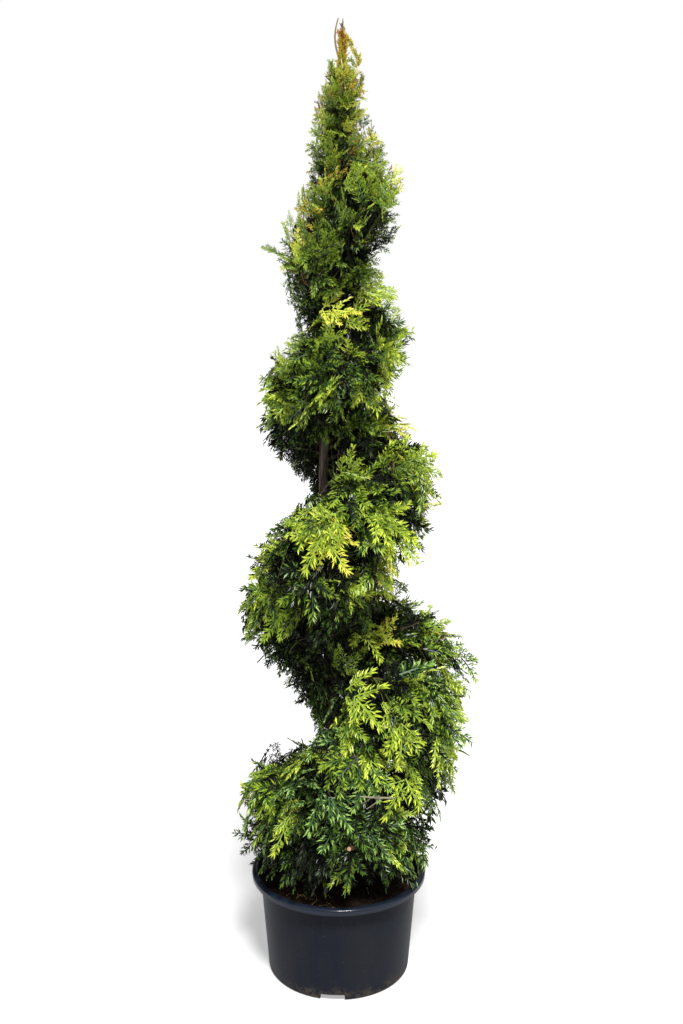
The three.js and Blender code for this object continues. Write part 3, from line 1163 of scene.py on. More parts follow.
    def _drain(self, towards: float) -> bpy.types.Object:
        """Makes the shape that cuts one hole in the floor.

        Args:
            towards: The direction of the hole.

        Returns:
            A short upright rod.
        """
        bpy.ops.mesh.primitive_cylinder_add(
            vertices=24,
            radius=self.drain_radius,
            depth=0.02,
            location=(*polar(self.drain_ring, towards), self.foot_height),
        )
        bpy.ops.object.transform_apply()
        return bpy.context.object

    def build(self) -> None:
        """Models the pot and dresses it."""
        pot = self._turn_shell()
        for number in range(self.notches):
            self._cut(pot, self._notch(self.notch_towards + number * 360 / self.notches))
        for number in range(self.drains):
            self._cut(pot, self._drain((number + 0.5) * 360 / self.drains))
        pot.name = "nursery_pot"
        bpy.ops.object.select_all(action="DESELECT")
        pot.select_set(True)
        bpy.context.view_layer.objects.active = pot
        bpy.ops.object.shade_smooth_by_angle(angle=math.radians(40))
        hand_over(pot, [self.finish.make()], ["pot"])


@dataclass
class PottingSoil:
    """The bed of soil in the pot, with its crumbs and pale rootlets."""

    top: float = 0.182
    radius: float = 0.1488
    skirt: float = 0.012
    segments: int = 96
    rings: int = 22
    crumbs: int = 1500
    crumb_least: float = 0.0014
    crumb_most: float = 0.0052
    crumb_shape: Triple = (0.62, 0.62, 0.55)
    rootlets: int = 26
    rootlet_towards: float = 235
    rootlet_points: int = 7
    rootlet_far: Pair = (0.07, 0.136)
    rootlet_lengths: Pair = (0.012, 0.034)
    rootlet_arch: Pair = (0.001, 0.007)
    rootlet_radii: Pair = (0.0003, 0.0007)
    rootlet_lift: float = 0.0022
    middle: float = 0.15
    sag: float = 0.0012
    swell: float = 0.0011
    waves: tuple[tuple[float, float, float, float], ...] = (
        (1, 31, 17, 1.3), (0.7, -38, 57, 0.4), (0.4, 121, 60, 0), (0.3, -90, 140, 2)
    )
    grain: tuple[tuple[str, float, float], ...] = (("lumps", 0.016, 0.006), ("grit", 0.005, 0.0025))
    finish: DampSoil = field(default_factory=DampSoil)

    def height(self, x: Array, y: Array) -> Array:
        """Gives the height of the bed's surface.

        Args:
            x: Places to the right of the axis.
            y: Places behind the axis.

        Returns:
            The height at each place.
        """
        waves = sum(
            size * np.sin(across * x + along * y + shift) for size, across, along, shift in self.waves
        )
        return self.top - self.sag + self.swell * waves

    def _bed(self) -> None:
        """Models the bed as rings that are drawn in to the middle."""
        bpy.ops.mesh.primitive_circle_add(
            vertices=self.segments, radius=self.radius, location=(0, 0, self.top - self.skirt)
        )
        start_editing()
        bpy.ops.mesh.extrude_edges_move(TRANSFORM_OT_translate={"value": (0, 0, self.skirt)})
        for ring in range(self.rings):
            left = self.rings - ring
            bpy.ops.mesh.extrude_edges_move()
            shrink = (left - 1 + self.middle) / (left + self.middle)
            bpy.ops.transform.resize(value=(shrink, shrink, 1), center_override=(0, 0, self.top))
        bpy.ops.mesh.merge(type="CENTER")
        bed = close_rims()
        bed.name = "soil_bed"
        roughen(bed, self.grain, direction="Z")
        bpy.ops.object.shade_smooth()
        hand_over(bed, [self.finish.make()], ["soil"])

    def _crumbs(self, draw: np.random.Generator) -> None:
        """Scatters crumbs over the bed.

        Args:
            draw: The source of chance.
        """
        corners = np.array(list(product((-1, 1), repeat=3))) * self.crumb_shape
        tips = np.array([(1, 0, 0), (-1, 0, 0), (0, 1, 0), (0, -1, 0), (0, 0, 0.8), (0, 0, -0.8)])
        shape = np.concatenate((corners, tips))
        faces = []
        for tip, (axis, sign) in enumerate(product(range(3), (1, -1)), len(corners)):
            ring = [i for i in range(8) if corners[i][axis] * sign > 0]
            one, two = (a for a in range(3) if a != axis)
            ring.sort(key=lambda i: math.atan2(corners[i][two], corners[i][one]))
            turned = sign * (-1 if axis == 1 else 1)
            for k in range(4):
                a, b = ring[k], ring[(k + 1) % 4]
                faces.append((tip, a, b) if turned > 0 else (tip, b, a))
        count = self.crumbs
        far = self.radius * np.sqrt(draw.uniform(0.01, 0.98, count))
        turn = draw.uniform(0, 2 * np.pi, count)
        x, y = far * np.cos(turn), far * np.sin(turn)
        size = self.crumb_least + (self.crumb_most - self.crumb_least) * draw.random(count) ** 2.6
        centre = np.stack((x, y, self.height(x, y) + 0.35 * size), -1)
        ragged = shape[None] * draw.uniform(0.7, 1.25, (count, len(shape), 1))
        ragged = ragged * draw.uniform((0.7, 0.6, 0.4), (1.3, 1, 0.8), (count, 3))[:, None]
        first = unit(draw.normal(size=(count, 3)))
        second = square_to(draw.normal(size=(count, 3)), first)
        axes = np.stack((first, second, np.cross(first, second)), 1)
        points = centre[:, None] + np.einsum("npa,nab->npb", ragged, axes) * (size[:, None, None])
        triangles = (np.array(faces)[None] + (np.arange(count) * len(shape))[:, None, None])
        piece = piece_from_arrays("soil_crumbs", points.reshape(-1, 3), triangles.reshape(-1, 3))
        hand_over(piece, [self.finish.make()])

    def _rootlets(self, draw: np.random.Generator) -> None:
        """Lays pale rootlets and straws on the bed.

        Args:
            draw: The source of chance.
        """
        count = self.rootlets
        towards = np.radians(
            np.where(
                draw.random(count) < 0.6,
                draw.normal(self.rootlet_towards, 22, count),
                draw.uniform(0, 360, count),
            )
        )
        far = draw.uniform(*self.rootlet_far, count)
        start = np.stack((far * np.cos(towards), far * np.sin(towards)), -1)
        heading = draw.uniform(0, 2 * np.pi, count)
        bend = draw.normal(0, 1.2, count)
        length = draw.uniform(*self.rootlet_lengths, count)
        share = np.linspace(0, 1, self.rootlet_points)
        turn = heading[:, None] + bend[:, None] * share
        step = length[:, None] / (self.rootlet_points - 1)
        x = start[:, :1] + np.cumsum(np.cos(turn) * step, 1)
        y = start[:, 1:] + np.cumsum(np.sin(turn) * step, 1)
        fit = np.minimum(1, (self.radius - 0.003) / np.hypot(x, y))
        x, y = x * fit, y * fit
        arch = draw.uniform(*self.rootlet_arch, count)[:, None] * np.sin(np.pi * share)
        z = self.height(x, y) + self.rootlet_lift + arch
        thick = draw.uniform(*self.rootlet_radii, count)[:, None]
        radii = np.repeat(thick, self.rootlet_points, 1)
        points, faces = tubes(np.stack((x, y, z), -1), radii, 4)
        piece = piece_from_arrays("soil_rootlets", points, faces, smooth=True)
        hand_over(piece, [Tint.STRAW.make()])

    def build(self) -> None:
        """Models the bed and what lies on it."""
        draw = np.random.default_rng(SEED + 1)
        self._bed()
        self._crumbs(draw)
        self._rootlets(draw)


# --------------------------------------------------------------------- trunk


@dataclass
class Trunk:
    """The trunk with its bark, up to the forked leader."""

    line: TrunkLine = TrunkLine()
    sides: int = 20
    rings: int = 46
    fork_from: float = 1.695
    fork_to: float = 1.774
    fork_bow: float = 0.0135
    fork_curl: float = 0.8
    fork_base: float = 0.0022
    fork_tip: float = 0.0012
    sunk: float = 0.004
    blunt: float = 0.6
    strip_length: float = 9
    bark: tuple[tuple[str, float, float], ...] = (
        ("strips", 0.0075, 0.0042), ("strings", 0.003, 0.0016)
    )
    finish: ConiferBark = field(default_factory=ConiferBark)

    def _limb(self, middles: Sequence[Triple], radii: Sequence[float]) -> bpy.types.Object:
        """Draws a limb up from a disc, ring by ring.

        Args:
            middles: The middle of each ring, from the bottom up.
            radii: The radius of each ring.

        Returns:
            The closed limb.
        """
        bpy.ops.mesh.primitive_circle_add(
            vertices=self.sides, radius=radii[0], fill_type="NGON", location=middles[0]
        )
        start_editing()
        for (here, thick), (there, thin) in pairwise(zip(middles, radii, strict=True)):
            move = Vector(there) - Vector(here)
            bpy.ops.mesh.extrude_region_move(TRANSFORM_OT_translate={"value": tuple(move)})
            size = thin / thick
            bpy.ops.transform.resize(value=(size, size, 1), center_override=there)
        return close_rims()

    def _main(self) -> bpy.types.Object:
        """Draws the main stem from below the soil's surface to its tip.

        Returns:
            The closed stem.
        """
        share = np.linspace(0, 1, self.rings) ** 1.1
        start = self.line.soil_top - self.sunk
        heights = start + (self.line.top - start) * share
        middles = [(float(self.line.centre(z)), 0.0, float(z)) for z in heights]
        radii = [float(self.line.radius(np.maximum(z, self.line.soil_top))) for z in heights]
        radii[-1] *= self.blunt
        return self._limb(middles, radii)

    def _fork(self) -> bpy.types.Object:
        """Draws the second leader that leaves the main one near the top.

        Returns:
            The closed leader.
        """
        share = np.linspace(0, 1, 9)
        heights = self.fork_from + (self.fork_to - self.fork_from) * share
        out = self.fork_bow * np.sin(np.pi * self.fork_curl * share)
        middles = [
            (float(self.line.centre(z) - o), 0.0, float(z)) for z, o in zip(heights, out, strict=True)
        ]
        radii = self.fork_base + (self.fork_tip - self.fork_base) * share
        return self._limb(middles, [float(r) for r in radii])

    def _raise_bark(self, trunk: bpy.types.Object) -> None:
        """Raises long strips of bark on the trunk.

        Args:
            trunk: The smooth trunk.
        """
        grid = bpy.data.objects.new("bark_direction", None)
        grid.scale = (1, 1, self.strip_length)
        bpy.context.scene.collection.objects.link(grid)
        roughen(
            trunk,
            self.bark,
            "HARD_NOISE",
            texture_coords="OBJECT",
            texture_coords_object=grid,
            vertex_group="old_wood",
        )
        bpy.data.objects.remove(grid)

    def build(self) -> None:
        """Models the trunk and dresses it."""
        fork, trunk = self._fork(), self._main()
        fork.select_set(True)
        trunk.select_set(True)
        bpy.context.view_layer.objects.active = trunk
        bpy.ops.object.join()
        trunk.name = "trunk_bark"
        group = trunk.vertex_groups.new(name="old_wood")
        for point in trunk.data.vertices:
            thick = float(self.line.radius(np.float64(point.co.z)))
            group.add([point.index], min(1.0, thick / self.line.base_radius), "REPLACE")
        self._raise_bark(trunk)
        bpy.ops.object.shade_smooth()
        hand_over(trunk, [self.finish.make()], ["trunk"])


# ------------------------------------------------------------------- foliage


@dataclass
class Spray:
    """One flat spray of scale leaves, a unit long, that others are copied from.

    Attributes:
        points: Its points: along the spray, across it and off its plane.
        faces: Its triangles.
        tones: 0 for a face at the base, 1 in the middle and 2 at a tip.
        ends: The point of each face that the shears reach first.
    """

    points: Array
    faces: Array
    tones: Array
    ends: Array


@dataclass(frozen=True)
class SprayPattern:
    """How a spray branches: side shoots on a stalk, and lobes on each."""

    shoots: int = 10
    first_shoot: float = 0.08
    last_shoot: float = 0.92
    opening: float = 50
    closing: float = 24
    shoot_length: float = 0.48
    lobe_length: float = 0.25
    lobe_width: float = 0.048
    lobe_opening: float = 25
    lobe_every: float = 0.112
    stalk: float = 0.034
    bow: float = 0.06
    foot: float = 1.3
    thinning: float = 0.4
    unevenness: float = 0.25
    end: float = 0.93
    end_bow: float = 0.86
    end_fan: Triple = (-0.45, 0.0, 0.42)
    end_wander: float = 0.08
    end_sizes: Pair = (0.8, 1.05)
    past_end: float = 1.02
    roundness: float = 0.62
    first_size: float = 0.62
    first_until: float = 0.25
    shoot_sizes: Pair = (0.7, 1.2)
    shoot_wander: float = 7
    shoot_taper: float = 0.75
    tilt: Pair = (0.05, 0.22)
    tilt_share: float = 0.6
    shortest: float = 0.02
    base_until: float = 0.5
    first_lobe: float = 0.45
    lobe_wander: float = 10
    lobe_fall: float = 0.35
    lobe_sizes: Pair = (0.75, 1.1)
    lift: Pair = (0.01, 0.02)
    last_lobe: float = 0.8
    last_wander: float = 0.1
    last_sizes: Pair = (0.8, 1.1)
    last_width: float = 1.05
    belly: float = 0.46
    fold: float = 0.55

    def grow(self, draw: np.random.Generator) -> Spray:
        """Grows one spray.

        Args:
            draw: The source of chance.

        Returns:
            The spray.
        """
        points: list[Triple] = []
        faces: list[tuple[int, int, int]] = []
        tones: list[int] = []
        ends: list[int] = []

        def lobe(
            at: Array, heading: float, length: float, width: float, lift: float, tone: int
        ) -> None:
            """Adds one folded lobe.

            Args:
                at: Where it starts.
                heading: Its direction in the plane.
                length: Its length.
                width: Its width.
                lift: How far its tip stands off the plane.
                tone: Its tone.
            """
            first = len(points)
            along = np.array((math.cos(heading), math.sin(heading)))
            across = np.array((-along[1], along[0]))
            belly = at[:2] + along * length * self.belly
            fold = at[2] + lift / 2 + width * self.fold
            tip = at[:2] + along * length
            points.extend(
                (
                    (*at[:2], at[2]),
                    (*(belly - across * width / 2), fold),
                    (*tip, at[2] + lift),
                    (*(belly + across * width / 2), fold),
                )
            )
            faces.extend(((first, first + 1, first + 2), (first, first + 2, first + 3)))
            tones.extend((tone, tone))
            ends.extend((first + 2, first + 2))

        def strip(start: Array, end: Array, wide: float, thin: float, tone: int) -> None:
            """Adds one tapering stretch of stalk.

            Args:
                start: Where it starts.
                end: Where it ends.
                wide: Its width at the start.
                thin: Its width at the end.
                tone: Its tone.
            """
            first = len(points)
            along = unit((end - start)[None])[0]
            across = np.array((-along[1], along[0], 0))
            points.extend(
                tuple(p)
                for p in (
                    start - across * wide / 2,
                    end - across * thin / 2,
                    end + across * thin / 2,
                    start + across * wide / 2,
                )
            )
            faces.extend(((first, first + 1, first + 2), (first, first + 2, first + 3)))
            tones.extend((tone, tone))
            ends.extend((first + 1, first + 1))

        bow = draw.normal(0, self.bow)
        stations = np.linspace(0, 1, 4)
        line = np.stack((stations, bow * stations**2, 0 * stations), -1)
        for a, b in pairwise(line):
            wide, thin = (self.stalk * (self.foot - self.thinning * c[0]) for c in (a, b))
            strip(a, b, wide, thin, 0)
        side = 1 if draw.random() < 0.5 else -1
        for number in range(self.shoots):
            share = (number + draw.uniform(-self.unevenness, self.unevenness)) / (self.shoots - 1)
            u = self.first_shoot + (self.last_shoot - self.first_shoot) * max(0, share)
            u = min(u, self.end)
            side = -side
            start = np.array((u, bow * u * u, 0.0))
            length = self.shoot_length * (self.past_end - u) ** self.roundness
            length *= self.first_size + (1 - self.first_size) * min(1, u / self.first_until)
            length *= draw.uniform(*self.shoot_sizes)
            heading = side * math.radians(
                self.opening + (self.closing - self.opening) * u + draw.normal(0, self.shoot_wander)
            )
            tilt = draw.normal(*self.tilt)
            along = np.array((math.cos(heading), math.sin(heading), tilt * self.tilt_share))
            end = start + along * max(self.shortest, length - self.lobe_length * self.last_lobe)
            thin = self.stalk * self.shoot_taper
            strip(start, end, self.stalk, thin, 0 if u < self.base_until else 1)
            lobes = round(length / self.lobe_every) if self.lobe_every else 0
            for k in range(lobes):
                place = (k + self.first_lobe) / lobes
                at = start + (end - start) * place
                turned = heading + (1 if (k + number) % 2 else -1) * math.radians(
                    self.lobe_opening + draw.normal(0, self.lobe_wander)
                )
                size = self.lobe_length * (1 - self.lobe_fall * place)
                size *= draw.uniform(*self.lobe_sizes)
                tone = 0 if place < 0.35 and u < 0.6 else (1 if place < 0.75 else 2)
                lobe(at, turned, size, self.lobe_width, draw.normal(*self.lift), tone)
            lobe(
                end,
                heading + draw.normal(0, self.last_wander),
                self.lobe_length * draw.uniform(*self.last_sizes),
                self.lobe_width * self.last_width,
                draw.normal(*self.lift),
                2 if u > self.first_until else 1,
            )
        for turned in self.end_fan:
            lobe(
                np.array((self.end, bow * self.end_bow, 0.0)),
                turned + draw.normal(0, self.end_wander),
                self.lobe_length * draw.uniform(*self.end_sizes),
                self.lobe_width,
                0.0,
                2,
            )
        return Spray(np.array(points), np.array(faces), np.array(tones), np.array(ends))


class Layer(Enum):
    """How deep fronds end, how many there are, how fine, and their tone: painted light outside, painted
    shade deeper in.
    """

    OUTER = (0.0, 0.006, 0.90, 0.12)
    MIDDLE = (0.020, 0.040, 0.60, -0.36)
    INNER = (0.036, 0.064, 0.85, -0.60)
    HEART = (0.060, 0.125, 0.80, -0.90)


@dataclass(frozen=True)
class FrondRule:
    """How sprays sit together on a frond, and fronds on the clipped outline."""

    per_square_metre: float = 276
    spray_length: float = 0.066
    sprays: int = 5
    hang_low: float = -1.0
    hang_high: float = 1.15
    hang_turns: Pair = (1.02, 1.50)
    level_on_top: Pair = (0.1, 0.75)
    inner_height: float = 0.06
    wander: float = 0.52
    proud: float = 0.006
    proud_under: float = 0.014
    clear_of_pot: Pair = (0.24, 0.34)
    clump: float = 0.009
    shears: float = 0.010
    stray: float = 0.05
    stray_by: float = 0.016
    open_from: float = 1.698
    trims: tuple[tuple[float, float, float, float], ...] = (
        (0, 0.315, 0.030, -0.020),
        (180, 0.455, 0.022, -0.014),
        (0, 0.590, 0.035, 0.014),
        (0, 0.790, 0.050, -0.013),
        (180, 0.865, 0.030, 0.014),
        (180, 1.030, 0.022, 0.009),
        (0, 1.125, 0.028, 0.010),
        (180, 1.205, 0.022, 0.011),
        (0, 1.305, 0.030, 0.010),
        (180, 1.450, 0.060, 0.010),
        (0, 1.470, 0.055, 0.009),
        (180, 1.580, 0.045, 0.009),
        (0, 1.605, 0.035, 0.012),
    )
    trim_spread: float = 60
    bare_half: float = 0.015
    deepest: float = 0.65
    size_base: float = 0.36
    size_reach: float = 0.25
    size_least: float = 0.46
    size_falls: tuple[Triple, ...] = ((0.2, 1.25, 1.5), (0.3, 1.5, 1.62))
    thin_reach: Pair = (0.06, 0.12)
    thin_below: Pair = (1.1, 1.3)
    # How much the layers' painted shade and light ease off towards the top.
    depth_shade_easing: Triple = (0.6, 1.5, 1.65)
    twig_foot: float = 0.9
    twig_pulls: Pair = (0.4, 0.5)
    twig_radii: Pair = (0.0008, 0.0013)
    twig_taper: Pair = (1.25, 0.7)
    clear_at: Triple = (0, 0.5, 0.9)
    sizes: Pair = (0.85, 1.12)
    stray_below: float = 0.4
    stray_above: float = 0.7
    clump_reach: Pair = (0.04, 0.12)
    level: float = 0.85
    turned_in: Triple = (0.35, 0.7, 1.0)
    foot: float = 1.35
    foot_room: float = 0.004
    blade_up: float = 0.35
    blade_wander: float = 0.42
    blade_roll: float = 24
    shorn: Pair = (0.3, 1.1)
    pair_first: float = 0.72
    pair_every: float = 0.36
    pair_apart: float = 0.1
    pair_lean: Pair = (45, 7)
    pair_sizes: Pair = (0.72, 0.98)
    spray_wander: float = 0.10
    spray_roll: float = 14
    droop: float = 0.1
    droop_below: float = 0.2
    curl: float = 0.07


@dataclass(frozen=True)
class WarmthAndLightRule:
    """How yellow a frond is dealt: its own yellowing, and painted light and shade.

    A fade is an amount of painted shade that ends between two heights.  A band is an amount, the
    height where it is strongest and how far it spreads up and down.
    """

    start: float = 0.15
    wander: float = 0.22
    # Painted light on fronds that face up, and painted shade on those that face down, down to this
    # limit.
    painted_top_light: float = 0.34
    painted_under_shade_limit: float = -0.45
    # Painted light on fronds that face right.
    right: float = 0.14
    # Painted light on fronds that face sideways low down, ending between these heights.
    painted_low_side_light: float = 0.18
    painted_low_side_light_end: Pair = (0.45, 0.60)
    # Painted light on fronds that face left, and painted shade on those that face right, about 1.43 m
    # up.
    left: float = 0.28
    painted_left_light_at: Pair = (1.43, 0.08)
    # Painted shade on fronds that face right, about 1.31 m up.
    painted_right_shade: float = 0.35
    painted_right_shade_at: Pair = (1.31, 0.035)
    patches: float = 0.11
    # Painted light on proud clumps and painted shade between them.
    clumps: float = 0.12
    # Painted shade on fronds sunk deep in the groove, fading out near the top.
    sunk: float = 0.2
    painted_groove_shade_by: Pair = (0.12, 0.6)
    painted_groove_shade_end: Pair = (1.4, 1.6)
    # Painted shade on fronds sunk in the hollow about 0.97 m up.
    painted_hollow_shade: float = 0.35
    painted_hollow_shade_by: Pair = (0.10, 0.45)
    painted_hollow_shade_at: Pair = (0.97, 0.09)
    # Painted shade that darkens the low fronds.
    painted_low_shade: tuple[Triple, ...] = ((0.25, 0.25, 0.40), (0.08, 0.55, 0.75))
    bands: tuple[Triple, ...] = ((0.16, 0.60, 0.06), (0.08, 0.86, 0.14))
    top: Triple = (0.26, 1.54, 1.67)


@dataclass(frozen=True)
class HabitRule:
    """Which colours fronds take by warmth and painted light, and where others show."""

    # The ladder deals painted shade on its dark steps and partly painted light on its light steps.
    ladder: tuple[Habit, ...] = (
        Habit.SHADED, Habit.DEEP, Habit.GREEN, Habit.FRESH, Habit.LIME, Habit.YELLOW
    )
    steps: tuple[float, ...] = (-0.34, -0.06, 0.19, 0.36, 0.68)
    warm_heights: Pair = (1.38, 1.7)
    cool_heights: Pair = (0.30, 0.75)
    cool_warmth: Pair = (0.15, 0.3)
    bluish: float = 0.42
    gilded: float = 0.6
    bronzed: float = 0.28
    dried: float = 0.01
    dried_below: float = -0.7
    dried_above: float = 0.35


@dataclass(frozen=True)
class BoughRule:
    """How boughs leave the trunk, and where in a mass they end."""

    every: float = 0.038
    fewest: int = 3
    turned: float = 0.618
    lowest: float = 0.08
    spread: float = 0.84
    below_open: float = 0.02
    reach: float = 0.74
    rise: float = 0.10
    more_rise: float = 0.75
    rise_heights: Pair = (0.9, 1.6)
    roots: Pair = (0.2, 1.72)
    sunk: float = 0.6
    wander: float = 8
    arch: float = 0.10
    wobble: float = 0.02
    points: int = 8
    thin: float = 0.0012
    thick: float = 0.022
    taper: float = 0.78
    tip: float = 0.0003


@dataclass
class FrondSet:
    """The fronds of one layer of one mass, in arrays.

    Attributes:
        tips: Where each frond ends.
        headings: Its direction of growth.
        blades: The direction that its flat side faces.
        lengths: The length of its end spray.
        slack: How far it may stand out of the outline.
        habits: The number of its habit.
    """

    tips: Array
    headings: Array
    blades: Array
    lengths: Array
    slack: Array
    habits: Array


@dataclass
class Foliage:
    """The masses of foliage: boughs, twigs and sprays for each."""

    rule: CrownRule = CrownRule()
    fronds: FrondRule = FrondRule()
    fine: SprayPattern = SprayPattern()
    plain: SprayPattern = SprayPattern(shoots=9, lobe_every=0.17)
    coarse: SprayPattern = SprayPattern(
        shoots=9, lobe_length=0.34, lobe_width=0.085, lobe_every=0, stalk=0.02
    )
    warmth_and_light: WarmthAndLightRule = WarmthAndLightRule()
    habits: HabitRule = HabitRule()
    bough: BoughRule = BoughRule()
    patterns: int = 14
    net_turns: int = 25
    net_rises: int = 90
    net_span: Pair = (0.004, 0.996)

    def __post_init__(self) -> None:
        """Grows the sprays that the others are copied from."""
        draw = np.random.default_rng(SEED + 2)
        self.fine_kinds = [self.fine.grow(draw) for _ in range(self.patterns)]
        self.plain_kinds = [self.plain.grow(draw) for _ in range(self.patterns // 2)]
        self.coarse_kinds = [self.coarse.grow(draw) for _ in range(self.patterns // 3)]
        self.spray_finishes = [tint.make() for tint in SPRAY_TINTS]
        self.twig_finishes = [tint.make() for tint in TWIG_TINTS]

    def _surface(self, start: float, end: float) -> tuple[Array, Array, Array, Array]:
        """Lays a net over the outline of one mass.

        Args:
            start: The angle where the mass starts.
            end: The angle where it ends.

        Returns:
            The middle, the outward normal, the angle and the area of each cell.
        """
        angles = np.linspace(start, end, self.net_turns)[:, None]
        low, high = self.rule.ribbon_span(angles)
        heights = low + (high - low) * np.linspace(*self.net_span, self.net_rises)[None]
        angles = np.broadcast_to(angles, heights.shape)
        net = self.rule.trunk.point(angles, heights, self.rule.reach(angles, heights))
        across = net[1:, 1:] - net[:-1, :-1]
        other = net[:-1, 1:] - net[1:, :-1]
        facing = np.cross(across, other)
        area = np.linalg.norm(facing, axis=-1) / 2
        middle = (net[1:, 1:] + net[:-1, :-1]) / 2
        turn = (angles[1:, 1:] + angles[:-1, 1:]) / 2
        return (middle.reshape(-1, 3), unit(facing.reshape(-1, 3)), turn.reshape(-1), area.reshape(-1))

    def _frond_size(self, angle: Array, height: Array) -> Array:
        """Gives the size of the fronds, which are small where the crown is thin.

        Args:
            angle: Angles on the ribbon.
            height: The heights there.

        Returns:
            The size at each place, against the largest.
        """
        rule = self.fronds
        size = rule.size_base + self.rule.reach(angle, height) / rule.size_reach
        size = np.clip(size, rule.size_least, 1)
        for amount, low, high in rule.size_falls:
            size = size * (1 - amount * smoothstep(height, low, high))
        return size

    @staticmethod
    def _clump(turn: Array, height: Array) -> Array:
        """Gives 1 where the fronds stand in a proud clump and -1 between clumps."""
        t = np.radians(turn)
        wave = np.sin(9 * t + height / 0.05) * np.cos(height / 0.017 - 4 * t)
        return wave + 0.35 * np.sin(17 * t - height / 0.011)

    def _trim(self, turn: Array, height: Array) -> Array:
        """Gives how far the shears left the fronds proud of the rule, or short of it.

        Args:
            turn: The directions from the trunk.
            height: The heights.

        Returns:
            The distance at each place, below 0 for short.
        """
        by = np.zeros(len(height))
        for towards, at, rise, size in self.fronds.trims:
            away = np.abs((turn - towards + 180) % 360 - 180)
            by += size * hump(away, 0, self.fronds.trim_spread) * hump(height, at, rise)
        return by

    def _hang(self, height: Array) -> Array:
        """Gives how far sprays hang, below 0, or rise, above 0, at a height."""
        rule = self.fronds
        share = smoothstep(height, *rule.hang_turns)
        return rule.hang_low + (rule.hang_high - rule.hang_low) * share

    def _warmth_and_light(self, points: Array, facing: Array, angle: Array, draw: np.random.Generator) -> Array:
        """Gives how yellow a frond is dealt, from its own colour and from painted light and shade.

        Args:
            points: Where the fronds end.
            facing: Where the outline faces there.
            angle: Their angles on the ribbon.
            draw: The source of chance.

        Returns:
            A value about 0 for green, above it for yellow and lit, below it for dark and shaded.
        """
        turn = np.degrees(np.arctan2(points[:, 1], points[:, 0]))
        z = points[:, 2]
        patch = np.sin(np.radians(turn) * 3 + z / 0.071) + np.sin(np.radians(turn) * 7 - z / 0.043 + 2)
        sunk = 1 - self.rule.reach(angle, z) / self.rule.cone(z)
        rule, right = self.warmth_and_light, facing[:, 0]
        warmth_and_light = (
            # painted light from above, painted shade underneath
            rule.painted_top_light * np.maximum(facing[:, 2], rule.painted_under_shade_limit)
            # painted light from the right
            + rule.right * right
            # painted light on the low sides
            + rule.painted_low_side_light * np.abs(right) * (1 - smoothstep(z, *rule.painted_low_side_light_end))
            # painted light on the left, painted shade on the right, about 1.43 m up
            - rule.left * right * hump(z, *rule.painted_left_light_at)
            # painted shade on the right, about 1.31 m up
            - rule.painted_right_shade * np.maximum(right, 0) * hump(z, *rule.painted_right_shade_at)
            + rule.patches * patch
            # painted light on proud clumps, painted shade between them
            + rule.clumps * self._clump(angle, z)
            # painted shade deep in the groove
            - rule.sunk * smoothstep(sunk, *rule.painted_groove_shade_by) * (1 - smoothstep(z, *rule.painted_groove_shade_end))
            # painted shade in the hollow
            - rule.painted_hollow_shade * smoothstep(sunk, *rule.painted_hollow_shade_by) * hump(z, *rule.painted_hollow_shade_at)
        )
        # Painted shade on the low fronds.
        for amount, low, high in rule.painted_low_shade:
            warmth_and_light = warmth_and_light - amount * (1 - smoothstep(z, low, high))
        for amount, place, spread in rule.bands:
            warmth_and_light = warmth_and_light - amount * hump(z, place, spread)
        amount, low, high = rule.top
        wander = draw.normal(0, rule.wander, len(points))
        return warmth_and_light + rule.start + amount * smoothstep(z, low, high) + wander

    def _habits(self, warmth_and_light: Array, height: Array, draw: np.random.Generator) -> Array:
        """Deals out the colours.

        Args:
            warmth_and_light: How yellow each frond is dealt, painted light and shade included.
            height: How high it ends.
            draw: The source of chance.

        Returns:
            The number of each frond's habit.
        """
        rule = self.habits
        ladder = np.array([HABITS.index(h) for h in rule.ladder])
        habit = ladder[np.searchsorted(rule.steps, warmth_and_light)]
        chance = draw.random(len(warmth_and_light))
        high = smoothstep(height, *rule.warm_heights)
        middle, spread = rule.cool_warmth
        cool = (1 - smoothstep(height, *rule.cool_heights)) * (abs(warmth_and_light - middle) < spread)
        dead = (abs(chance - 0.5) < rule.dried) & (warmth_and_light < rule.dried_below)
        for where, other in (
            (chance < rule.bluish * cool, Habit.BLUISH),
            ((chance > 1 - rule.gilded * high) & (warmth_and_light > 0), Habit.GILDED),
            ((chance > 1 - rule.bronzed * high) & (warmth_and_light > 0), Habit.BRONZED),
            (dead & (height > rule.dried_above), Habit.DRIED),
        ):
            habit = np.where(where, HABITS.index(other), habit)
        return habit

